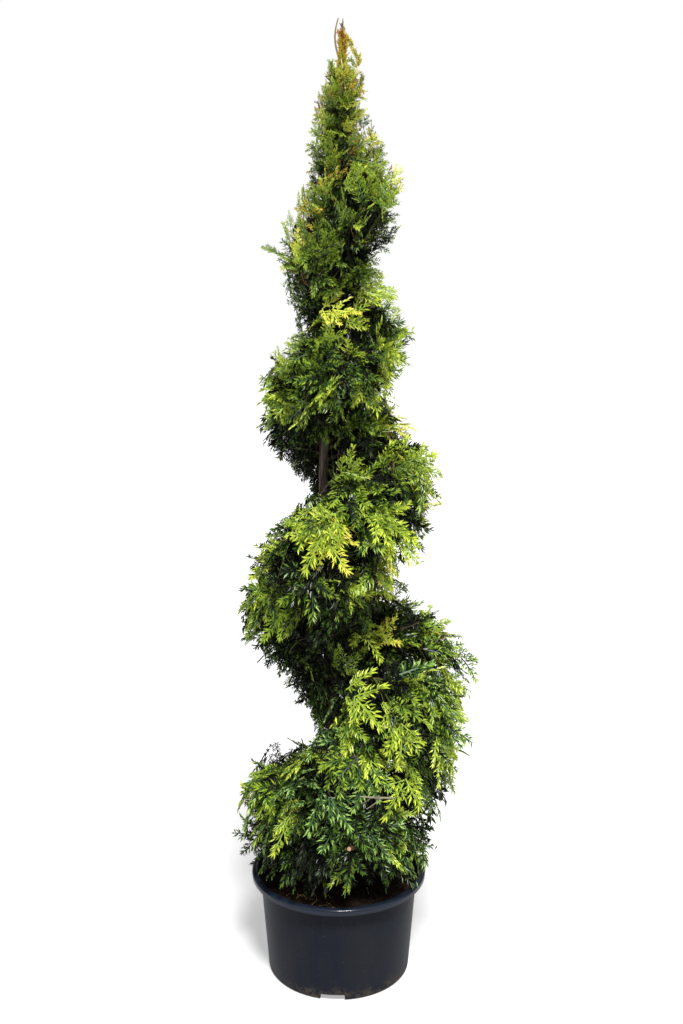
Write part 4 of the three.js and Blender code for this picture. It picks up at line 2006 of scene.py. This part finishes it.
    def _boughs(self, start: float, end: float, draw: np.random.Generator) -> tuple[Array, Array]:
        """Sends boughs from the trunk into one mass.

        Args:
            start: The angle where the mass starts.
            end: The angle where it ends.
            draw: The source of chance.

        Returns:
            The paths of the boughs and their radii.
        """
        rule, trunk = self.bough, self.rule.trunk
        low, high = self.rule.ribbon_span(np.array([(start + end) / 2]))
        count = max(rule.fewest, round(float(high[0] - low[0]) / rule.every))
        angle = start + (end - start) * ((np.arange(count) * rule.turned + draw.uniform(0, 1)) % 1)
        low, high = self.rule.ribbon_span(angle)
        place = (np.arange(count) + draw.uniform(0.2, 0.8, count)) / count
        tip_height = low + (high - low) * (rule.lowest + rule.spread * place)
        tip_height = np.minimum(tip_height, self.fronds.open_from - rule.below_open)
        tip_reach = rule.reach * self.rule.reach(angle, tip_height)
        lift = rule.rise + rule.more_rise * smoothstep(tip_height, *rule.rise_heights)
        root_height = np.clip(tip_height - lift * tip_reach, *rule.roots)
        root_height = np.clip(root_height, low - 0.02, np.minimum(high, tip_height))
        share = np.linspace(0, 1, rule.points)[None]
        root = trunk.point(angle, root_height, rule.sunk * trunk.radius(root_height))
        turned = angle + draw.normal(0, rule.wander, count)
        tip = trunk.point(turned, tip_height, tip_reach)
        arch = rule.arch * tip_reach * draw.uniform(0.2, 1, count)
        paths = root[:, None] + (tip - root)[:, None] * share[..., None]
        paths[..., 2] += arch[:, None] * np.sin(np.pi * share)
        wave = np.sin(2 * np.pi * share)[..., None]
        wobble = draw.normal(0, rule.wobble, (count, 1, 3)) * wave
        paths += wobble * tip_reach[:, None, None]
        thick = rule.thin + rule.thick * tip_reach
        radii = thick[:, None] * (1 - rule.taper * share) + rule.tip
        return paths, radii

    def _frond_places(
        self, start: float, end: float, crowd: float, draw: np.random.Generator
    ) -> tuple[Array, Array, Array]:
        """Spreads fronds evenly over the outline of one mass.

        Args:
            start: The angle where the mass starts.
            end: The angle where it ends.
            crowd: How many fronds there are, against the outer layer.
            draw: The source of chance.

        Returns:
            The places, the outward normals there and their angles.
        """
        middle, facing, turn, area = self._surface(start, end)
        chance = area / self._frond_size(turn, middle[:, 2]) ** 2
        chance = chance * (middle[:, 2] < self.fronds.open_from)
        thin = 1 - smoothstep(self.rule.reach(turn, middle[:, 2]), *self.fronds.thin_reach)
        chance = chance * (1 + thin * (1 - smoothstep(middle[:, 2], *self.fronds.thin_below)))
        count = round(float(chance.sum()) * self.fronds.per_square_metre * crowd)
        picks = draw.choice(len(area), size=(count, 4), p=chance / chance.sum())
        chosen = [picks[0, 0]]
        for row in picks[1:]:
            gaps = np.linalg.norm(middle[row][:, None] - middle[chosen][None], axis=-1).min(1)
            chosen.append(row[int(np.argmax(gaps))])
        return middle[chosen], facing[chosen], turn[chosen]

    def _fronds(self, start: float, end: float, layer: Layer, draw: np.random.Generator) -> FrondSet:
        """Grows the fronds of one layer of a mass out to its outline.

        Args:
            start: The angle where the mass starts.
            end: The angle where it ends.
            layer: The layer.
            draw: The source of chance.

        Returns:
            The fronds.
        """
        rule = self.fronds
        least, most, crowd, tone = layer.value
        places, facing, turn = self._frond_places(start, end, crowd, draw)
        count, height = len(places), places[:, 2]
        reach = self.rule.reach(turn, height)
        size = self._frond_size(turn, height)
        length = rule.spray_length * size * draw.uniform(*rule.sizes, count)
        depth = np.minimum(draw.uniform(least, most, count), rule.deepest * reach)
        stray = (draw.random(count) < rule.stray) & (layer is Layer.OUTER)
        stray &= (facing[:, 2] < rule.stray_below) | (height > rule.stray_above)
        under = rule.proud_under * np.clip(-facing[:, 2], 0, 1)
        under *= smoothstep(height, *rule.clear_of_pot)
        lift = rule.clump * self._clump(turn, height) * smoothstep(reach, *rule.clump_reach)
        trim = self._trim(turn, height)
        proud = np.where(stray, rule.stray_by, rule.proud) + under + lift + trim
        tips = places + facing * (proud - depth)[:, None]
        low, high = self.rule.ribbon_span(turn)
        lower = np.clip((low + high) / 2 - height, -rule.inner_height, rule.inner_height)
        inner = self.rule.trunk.point(turn, height + lower, 0 * height)
        outward = unit(places - inner)
        level = smoothstep(facing[:, 2], *rule.level_on_top)
        hang = self._hang(height) * (1 - rule.level * level)
        wish = unit(outward + hang[:, None] * UP + rule.wander * draw.normal(size=(count, 3)))
        heading = wish
        for turned in rule.turned_in:
            foot = tips - heading * (rule.foot * length)[:, None]
            out = self.rule.room(foot, (start + end) / 2) < rule.foot_room
            better = unit(wish + (outward - wish) * turned)
            heading = np.where(out[:, None], better, heading)
        flat = facing + rule.blade_up * UP + rule.blade_wander * draw.normal(size=(count, 3))
        roll = draw.normal(0, rule.blade_roll, count)
        blade = rolled(square_to(flat, heading), heading, roll)
        # Painted shade and light by layer: deeper layers get darker tints and the outer layer lighter
        # ones, less so near the top.
        amount, low, high = rule.depth_shade_easing
        tone = tone * (1 - amount * smoothstep(height, low, high))
        warmth_and_light = self._warmth_and_light(places, facing, turn, draw) + tone
        shorn = rule.shears * draw.uniform(*rule.shorn, count)
        slack = under + np.maximum(lift, 0) + np.where(stray, rule.stray_by, shorn) + trim
        habits = self._habits(warmth_and_light, height, draw)
        return FrondSet(tips, heading, blade, length, slack, habits)

    def _twigs(
        self, boughs: Array, ends: Array, headings: Array, lengths: Array, draw: np.random.Generator
    ) -> tuple[Array, Array]:
        """Leads a twig from the nearest bough to each frond.

        Args:
            boughs: The paths of the boughs.
            ends: Where the twigs end.
            headings: The direction of each frond.
            lengths: How long each frond is.
            draw: The source of chance.

        Returns:
            The paths of the twigs and their radii.
        """
        stations = boughs[:, 1:].reshape(-1, 3)
        along = unit(np.gradient(boughs, axis=1))[:, 1:].reshape(-1, 3)
        rule = self.fronds
        foot = ends - headings * lengths[:, None] * rule.twig_foot
        nearest = np.argmin(np.linalg.norm(foot[:, None] - stations[None], axis=-1), axis=1)
        root = stations[nearest]
        size = np.linalg.norm(ends - root, axis=1)[:, None]
        share = np.linspace(0, 1, 7)
        a = 2 * share**3 - 3 * share**2 + 1
        b = share**3 - 2 * share**2 + share
        c = -2 * share**3 + 3 * share**2
        d = share**3 - share**2
        paths = (
            root[:, None] * a[None, :, None]
            + (along[nearest] * size * rule.twig_pulls[0])[:, None] * b[None, :, None]
            + ends[:, None] * c[None, :, None]
            + (headings * size * rule.twig_pulls[1])[:, None] * d[None, :, None]
        )
        thick = draw.uniform(*rule.twig_radii, len(ends))[:, None]
        return paths, thick * (rule.twig_taper[0] - rule.twig_taper[1] * share)[None]

    def copy_sprays(
        self,
        kinds: Sequence[Spray],
        origins: Array,
        axes: Array,
        lengths: Array,
        curls: Array,
        habits: Array,
        slack: Array,
        near: float,
        draw: np.random.Generator,
    ) -> Mesh:
        """Copies sprays to their places and clips what stands out.

        Args:
            kinds: The sprays to copy.
            origins: Where each spray starts.
            axes: Its three unit axes: along, across and off its plane.
            lengths: Its length.
            curls: How far its tip bends off its plane.
            habits: The number of its habit.
            slack: How far it may stand out of the outline.
            near: An angle on the ribbon that the sprays belong to.
            draw: The source of chance.

        Returns:
            The points, the triangles and the tint number of each triangle.
        """
        chosen = draw.integers(0, len(kinds), len(origins))
        wide = draw.uniform(0.85, 1.1, len(origins))
        made, first = [], 0
        for number, kind in enumerate(kinds):
            mine = np.flatnonzero(chosen == number)
            u, v, w = kind.points.T
            shape = np.stack(
                (
                    np.broadcast_to(u, (len(mine), len(u))),
                    v * wide[mine][:, None],
                    w + curls[mine][:, None] * u**2,
                ),
                -1,
            )
            points = origins[mine][:, None] + lengths[mine][:, None, None] * np.einsum(
                "npa,nab->npb", shape, axes[mine]
            )
            room = self.rule.room(points[:, kind.ends[::2]], near)
            kept = np.repeat(room > -slack[mine][:, None], 2, axis=1)
            offset = (np.arange(len(mine)) * len(u))[:, None, None] + first
            tints = HABIT_TINTS[habits[mine]][:, kind.tones]
            made.append((points.reshape(-1, 3), (kind.faces[None] + offset)[kept], tints[kept]))
            first += points.shape[0] * points.shape[1]
        points, faces, tints = (np.concatenate(part) for part in zip(*made, strict=True))
        used, faces = np.unique(faces, return_inverse=True)
        return points[used], faces.reshape(-1, 3), tints

    def _sprays(
        self, fronds: FrondSet, kinds: Sequence[Spray], near: float, draw: np.random.Generator
    ) -> Mesh:
        """Sets the sprays of all the fronds: one at the end, the rest in pairs.

        Args:
            fronds: The fronds.
            kinds: The sprays to copy.
            near: An angle on the ribbon that the fronds belong to.
            draw: The source of chance.

        Returns:
            The points, the triangles and the tint number of each triangle.
        """
        rule, count = self.fronds, len(fronds.tips)
        side = np.cross(fronds.blades, fronds.headings)
        origins, alongs, flats, lengths = [], [], [], []
        for item in range(rule.sprays):
            pair = (item + 1) // 2
            sign = (item % 2) * 2 - 1
            apart = draw.uniform(-rule.pair_apart, rule.pair_apart, count)
            back = 1.0 if item == 0 else rule.pair_first + rule.pair_every * pair + apart
            lean = np.radians(draw.normal(*rule.pair_lean, count)) * sign * (item > 0)
            share = 1.0 if item == 0 else draw.uniform(*rule.pair_sizes, count)
            along = unit(
                np.cos(lean)[:, None] * fronds.headings
                + np.sin(lean)[:, None] * side
                + rule.spray_wander * draw.normal(size=(count, 3))
            )
            flat = square_to(fronds.blades, along)
            origins.append(fronds.tips - fronds.headings * (fronds.lengths * back)[:, None])
            alongs.append(along)
            flats.append(rolled(flat, along, draw.normal(0, rule.spray_roll, count)))
            lengths.append(fronds.lengths * share)
        origin, along = np.concatenate(origins), np.concatenate(alongs)
        flat, length = np.concatenate(flats), np.concatenate(lengths)
        owner = np.tile(np.arange(count), rule.sprays)
        axes = np.stack((along, np.cross(flat, along), flat), 1)
        hanging = self._hang(origin[:, 2]) < rule.droop_below
        droop = -rule.droop * np.sign(flat[:, 2]) * hanging
        keep = (self.rule.room(origin, near) > -0.002) & self._clear_of_trunk(origin, along, length)
        return self.copy_sprays(
            kinds,
            origin[keep],
            axes[keep],
            length[keep],
            (droop + draw.normal(0, rule.curl, len(owner)))[keep],
            fronds.habits[owner][keep],
            fronds.slack[owner][keep],
            near,
            draw,
        )

    def _mass(self, number: int, start: float, end: float) -> int:
        """Builds one mass.

        Args:
            number: The number of the mass, from the bottom up.
            start: The angle where it starts.
            end: The angle where it ends.

        Returns:
            How many faces its pieces have.
        """
        draw = np.random.default_rng(SEED + 100 + number)
        near = (start + end) / 2
        boughs, bough_radii = self._boughs(start, end, draw)
        old_wood = (0.7, 0.3, 0, 0, 0, 0)
        leaves, wood = [], [(*tubes(boughs, bough_radii, 6), len(boughs), old_wood)]
        simpler = {Layer.INNER: self.plain_kinds, Layer.HEART: self.coarse_kinds}
        for layer in Layer:
            fronds = self._fronds(start, end, layer, draw)
            kinds = simpler.get(layer, self.fine_kinds)
            leaves.append(self._sprays(fronds, kinds, near, draw))
            if layer in simpler:
                continue
            stalks = fronds.tips - fronds.headings * fronds.lengths[:, None]
            twigs, radii = self._twigs(boughs, stalks, fronds.headings, fronds.lengths * 1.4, draw)
            inside = (self.rule.room(twigs, near) > -0.001).all(1)
            young = float(smoothstep(fronds.tips[:, 2].mean(), 1.4, 1.65))
            odds = (0.46 - 0.3 * young, 0.08, 0.42, 0.04 + 0.3 * young, 0, 0)
            wood.append((*tubes(twigs[inside], radii[inside], 3), int(inside.sum()), odds))
        name = f"{number:02d}"
        points, faces, tints = self._joined(leaves)
        sprays = piece_from_arrays(f"sprays_{name}", points, faces, tints)
        hand_over(sprays, self.spray_finishes, [f"foliage_{name}"])
        limbs = [
            (p, f, np.repeat(draw.choice(len(odds), size=n, p=odds), len(f) // max(n, 1)))
            for p, f, n, odds in wood
        ]
        points, wood_faces, tints = self._joined(limbs)
        limb = piece_from_arrays(f"boughs_{name}", points, wood_faces, tints, True)
        hand_over(limb, self.twig_finishes, [f"foliage_{name}"])
        return len(faces) + len(wood_faces)

    @staticmethod
    def _joined(parts: Sequence[Mesh]) -> Mesh:
        """Joins meshes that are given as arrays.

        Args:
            parts: The points, triangles and tint numbers of each.

        Returns:
            The points, triangles and tint numbers of them all.
        """
        firsts = np.cumsum([0] + [len(points) for points, _, _ in parts])
        return (
            np.concatenate([points for points, _, _ in parts]),
            np.concatenate([f + first for (_, f, _), first in zip(parts, firsts, strict=False)]),
            np.concatenate([tints for _, _, tints in parts]),
        )

    def _clear_of_trunk(self, origin: Array, along: Array, length: Array) -> Array:
        """Tells which sprays stay clear of the trunk.

        Args:
            origin: Where the sprays start.
            along: Their directions.
            length: Their lengths.

        Returns:
            True for each spray that lies outside the trunk and leaves it bare in front.
        """
        rule, half = self.rule, self.fronds.bare_half
        clear = np.full(len(origin), True)
        for share in self.fronds.clear_at:
            at = origin + along * (length * share)[:, None]
            x = at[:, 0] - rule.trunk.centre(at[:, 2])
            clear &= np.hypot(x, at[:, 1]) > rule.trunk.radius(at[:, 2])
            level = np.abs(at[:, 2] - rule.bare_height) < rule.bare_rise
            clear &= ~(level & (np.abs(x) < half) & (at[:, 1] < 0))
        return clear

    def node_at(self, angle: float) -> str:
        """Names the CAD node of the mass that lies at an angle of the ribbon."""
        return f"foliage_{int(np.searchsorted(self.rule.mass_edges(), angle)):02d}"

    def build(self) -> None:
        """Builds all the masses from the bottom up."""
        edges = self.rule.mass_edges()
        total = 0
        for number, (start, end) in enumerate(pairwise(edges), 1):
            total += self._mass(number, float(start), float(end))
        log.info("foliage in all: %d faces", total)


@dataclass(frozen=True)
class Shoot:
    """One thin shoot, bent from where it leaves the plant to its end.

    Attributes:
        start: Where it leaves.
        pull: The point that it bends towards.
        end: Where it ends.
        radius: Its radius at the start.
        wood: Its own colour.
        sprays: How many small sprays it bears.
        bare: The share of its length that bears none.
        size: The length of a spray.
        spread: How far the sprays stand off, 0 for along the shoot.
        habit: How the sprays are coloured.
    """

    start: Triple
    pull: Triple
    end: Triple
    radius: float = 0.0010
    wood: Tint = Tint.TWIG_TAN
    sprays: int = 0
    bare: float = 0.0
    size: float = 0.014
    spread: float = 0.7
    habit: Habit = Habit.GILDED

    def point(self, share: Array) -> Array:
        """Gives the points at shares of the shoot's length, in rows."""
        t = np.asarray(share)[:, None]
        start, pull, end = (np.array(p) for p in (self.start, self.pull, self.end))
        return (1 - t) ** 2 * start + 2 * t * (1 - t) * pull + t**2 * end


@dataclass
class LooseShoots:
    """Shoots that stand by themselves in one place of the crown."""

    name: str
    near: float
    shoots: tuple[Shoot, ...]
    foliage: Foliage
    steps: int = 9

    def _stems(self) -> Mesh:
        """Makes the bare stems.

        Returns:
            The points, the triangles and the tint number of each triangle.
        """
        share = np.linspace(0, 1, self.steps)
        paths = np.stack([shoot.point(share) for shoot in self.shoots])
        girth = np.array([shoot.radius for shoot in self.shoots])
        points, faces = tubes(paths, girth[:, None] * (1 - 0.45 * share)[None], 5)
        tints = [TWIG_TINTS.index(shoot.wood) for shoot in self.shoots]
        return points, faces, np.repeat(tints, len(faces) // len(tints))

    def _leaves(self, draw: np.random.Generator) -> Mesh:
        """Sets the small sprays along the shoots.

        Args:
            draw: The source of chance.

        Returns:
            The points, the triangles and the tint number of each triangle.
        """
        origins, alongs, sizes, habits = [], [], [], []
        for shoot in self.shoots:
            count = shoot.sprays
            share = np.sort(draw.uniform(shoot.bare, 1, count))
            ahead = unit(shoot.point(share + 0.02) - shoot.point(share - 0.02))
            off = square_to(draw.normal(size=(count, 3)), ahead)
            along = unit(ahead + shoot.spread * off)
            origins.append(shoot.point(share) - 0.15 * shoot.size * along)
            alongs.append(along)
            sizes.append(shoot.size * draw.uniform(0.75, 1.15, count))
            habits.append(np.full(count, HABITS.index(shoot.habit)))
        along = np.concatenate(alongs)
        flat = square_to((0, -1, 0) + 0.6 * draw.normal(size=along.shape), along)
        return self.foliage.copy_sprays(
            self.foliage.fine_kinds,
            np.concatenate(origins),
            np.stack((along, np.cross(flat, along), flat), 1),
            np.concatenate(sizes),
            draw.normal(0, 0.1, len(along)),
            np.concatenate(habits),
            np.ones(len(along)),
            self.near,
            draw,
        )

    def build(self) -> None:
        """Builds the stems and their sprays."""
        draw = np.random.default_rng(SEED + round(self.near))
        node = self.foliage.node_at(self.near)
        points, faces, tints = self._stems()
        stems = piece_from_arrays(f"{self.name}_stems", points, faces, tints, True)
        hand_over(stems, self.foliage.twig_finishes, [node])
        if any(shoot.sprays for shoot in self.shoots):
            leaves = piece_from_arrays(f"{self.name}_sprays", *self._leaves(draw))
            hand_over(leaves, self.foliage.spray_finishes, [node])


@dataclass
class CutStub:
    """The stub of a bough that was cut off, pale where it was cut."""

    foliage: Foliage
    near: float = -84
    at: Triple = (0.019, -0.210, 0.343)
    towards: Triple = (-0.22, -1.0, 0.42)
    radius: float = 0.0042
    length: float = 0.06

    def build(self) -> None:
        """Models the stub and dresses it."""
        towards = Vector(self.towards).normalized()
        bpy.ops.mesh.primitive_cylinder_add(
            vertices=14,
            radius=self.radius,
            depth=self.length,
            location=Vector(self.at) - towards * self.length / 2,
            rotation=towards.to_track_quat("Z", "Y").to_euler(),
        )
        stub = bpy.context.object
        stub.name = "cut_stub"
        start_editing()
        bpy.ops.mesh.bevel(offset=0.0006, segments=1, affect="EDGES")
        bpy.ops.object.mode_set(mode="OBJECT")
        hand_over(
            stub,
            [Tint.TWIG_BROWN.make(), Tint.TWIG_CUT.make()],
            [self.foliage.node_at(self.near)],
        )
        for face in stub.data.polygons:
            face.material_index = int(face.normal.dot(towards) > 0.9)


TIP = (
    Shoot((0.0060, -0.003, 1.684), (0.0085, -0.003, 1.706), (0.0065, -0.002, 1.728),
          0.0022, sprays=70, size=0.0160, spread=0.8),
    Shoot((0.0065, -0.002, 1.706), (0.0085, -0.001, 1.728), (0.0060, -0.001, 1.748),
          0.0020, sprays=70, size=0.0140, spread=0.8, habit=Habit.RUSTED),
    Shoot((0.0070, -0.001, 1.745), (0.0078, -0.001, 1.755), (0.0060, -0.001, 1.764),
          0.0020, sprays=20, size=0.0080, spread=0.6, habit=Habit.DRIED),
    Shoot((0.0200, -0.018, 1.668), (0.0520, -0.008, 1.698), (0.0120, -0.003, 1.744),
          0.0012, Tint.TWIG_CREAM, 52, 0.36, 0.0130, 0.6, Habit.GILDED),
    Shoot((0.0120, -0.022, 1.654), (0.0080, -0.016, 1.684), (0.0050, -0.008, 1.706),
          0.0014, Tint.TWIG_CREAM),
    Shoot((0.0330, -0.008, 1.688), (0.0300, -0.009, 1.697), (0.0210, -0.007, 1.703),
          0.0007, Tint.TWIG_CREAM, 12, 0.1, 0.0120, 0.8, Habit.FRESH),
    Shoot((-0.0040, -0.008, 1.668), (-0.0110, -0.008, 1.686), (-0.0125, -0.006, 1.702),
          0.0008, Tint.TWIG_GREEN, 14, 0.1, 0.0120, 0.5, Habit.FRESH),
    Shoot((0.0290, -0.006, 1.648), (0.0380, -0.006, 1.660), (0.0435, -0.005, 1.676),
          0.0009, Tint.TWIG_TAN, 16, 0.2, 0.0110, 0.5, Habit.BRONZED),
)
BARE_TWIG = (
    Shoot((0.0980, -0.190, 0.430), (0.0740, -0.230, 0.4480), (0.0380, -0.219, 0.4455),
          0.0021, Tint.TWIG_PALE),
    Shoot((0.0710, -0.2215, 0.4445), (0.0670, -0.2225, 0.4448), (0.0630, -0.2222, 0.4445),
          0.0036, Tint.TWIG_GREY),
    Shoot((0.0750, -0.2210, 0.4445), (0.0640, -0.2230, 0.4330), (0.0490, -0.2180, 0.4220),
          0.0011, Tint.TWIG_PALE),
    Shoot((0.0560, -0.2220, 0.4440), (0.0500, -0.2240, 0.4380), (0.0420, -0.2200, 0.4340),
          0.0009, Tint.TWIG_GREY),
)
RIGHT_STRAY = (
    Shoot((0.1150, -0.030, 0.694), (0.1450, -0.034, 0.700), (0.1680, -0.034, 0.722),
          0.0014, Tint.TWIG_BROWN, 5, 0.45, 0.030, 0.5, Habit.DEEP),
)
LEFT_STRAY = (
    Shoot((-0.0750, -0.020, 1.372), (-0.1000, -0.022, 1.372), (-0.1180, -0.022, 1.384),
          0.0010, Tint.TWIG_GREEN, 5, 0.40, 0.024, 0.35, Habit.FRESH),
)


# -------------------------------------------------------------------- studio


@dataclass
class Studio:
    """A pale floor under soft light, and the camera."""

    floor_size: float = 40
    floor_colour: str = "#b4b4b4"
    floor_glow: float = 0.42
    sky: str = "#ffffff"
    sky_seen: float = 1.0
    sky_light: float = 0.07
    camera_at: Triple = (0.0056, -2.10, 1.295)
    camera_down: float = 10.4
    lens: float = 40.43
    sensor: float = 36
    lamps: tuple[tuple[str, Triple, float, float], ...] = (
        ("key_lamp", (0.3, -1.6, 3.0), 12, 5.7),
        ("left_lamp", (-2.4, -1.3, 1.4), 50, 0.45),
        ("right_lamp", (2.4, -1.1, 1.4), 50, 0.45),
        ("back_lamp", (0.8, 2.8, 3.0), 50, 0.3),
    )

    def _floor(self) -> None:
        """Lays the floor."""
        bpy.ops.mesh.primitive_plane_add(size=self.floor_size)
        floor = bpy.context.object
        floor.name = "studio_floor"
        sheet = NodeSheet("studio_floor")
        sheet.shade(
            Base_Color=self.floor_colour,
            Roughness=1.0,
            Emission_Color=self.sky,
            Emission_Strength=self.floor_glow,
        )
        floor.data.materials.append(sheet.material)

    def _sky(self) -> None:
        """Lights the scene softly from all round."""
        world = bpy.data.worlds.new("studio_sky")
        world.use_nodes = True
        bpy.context.scene.world = world
        tree = world.node_tree
        seen = tree.nodes["Background"]
        seen.inputs["Color"].default_value = linear(self.sky)
        seen.inputs["Strength"].default_value = self.sky_seen
        lit = tree.nodes.new("ShaderNodeBackground")
        lit.inputs["Color"].default_value = linear(self.sky)
        lit.inputs["Strength"].default_value = self.sky_light
        path = tree.nodes.new("ShaderNodeLightPath")
        mixed = tree.nodes.new("ShaderNodeMixShader")
        tree.links.new(path.outputs["Is Camera Ray"], mixed.inputs["Fac"])
        tree.links.new(lit.outputs[0], mixed.inputs[1])
        tree.links.new(seen.outputs[0], mixed.inputs[2])
        tree.links.new(mixed.outputs[0], tree.nodes["World Output"].inputs["Surface"])

    def _lamp(self, name: str, at: Triple, soft: float, power: float) -> None:
        """Hangs one soft, far lamp that shines on the plant.

        Args:
            name: The lamp's name.
            at: The direction that it shines from.
            soft: How wide it looks from the plant, in degrees.
            power: Its light on a square metre, in watts.
        """
        data = bpy.data.lights.new(name, "SUN")
        data.angle = math.radians(soft)
        data.energy = power
        lamp = bpy.data.objects.new(name, data)
        lamp.location = at
        lamp.rotation_euler = (-Vector(at)).to_track_quat("-Z", "Y").to_euler()
        bpy.context.scene.collection.objects.link(lamp)

    def _camera(self) -> None:
        """Sets the camera up."""
        data = bpy.data.cameras.new("camera")
        data.lens = self.lens
        data.sensor_width = self.sensor
        camera = bpy.data.objects.new("camera", data)
        camera.location = self.camera_at
        camera.rotation_euler = (math.radians(90 - self.camera_down), 0, 0)
        bpy.context.scene.collection.objects.link(camera)
        bpy.context.scene.camera = camera

    def build(self) -> None:
        """Sets the studio up."""
        self._camera()
        self._floor()
        self._sky()
        for lamp in self.lamps:
            self._lamp(*lamp)
        bpy.context.scene.view_settings.view_transform = "Standard"


def main() -> None:
    """Builds the studio and the plant, piece by piece."""
    logging.basicConfig(level=logging.INFO, format="%(message)s")
    bpy.ops.object.select_all(action="DESELECT")
    Studio().build()
    NurseryPot().build()
    PottingSoil().build()
    Trunk().build()
    foliage = Foliage()
    foliage.build()
    LooseShoots("tip", 1600, TIP, foliage).build()
    LooseShoots("bare_twig", -71, BARE_TWIG, foliage).build()
    LooseShoots("right_stray", 0, RIGHT_STRAY, foliage).build()
    LooseShoots("left_stray", 900, LEFT_STRAY, foliage).build()
    CutStub(foliage).build()


if __name__ == "__main__":
    main()
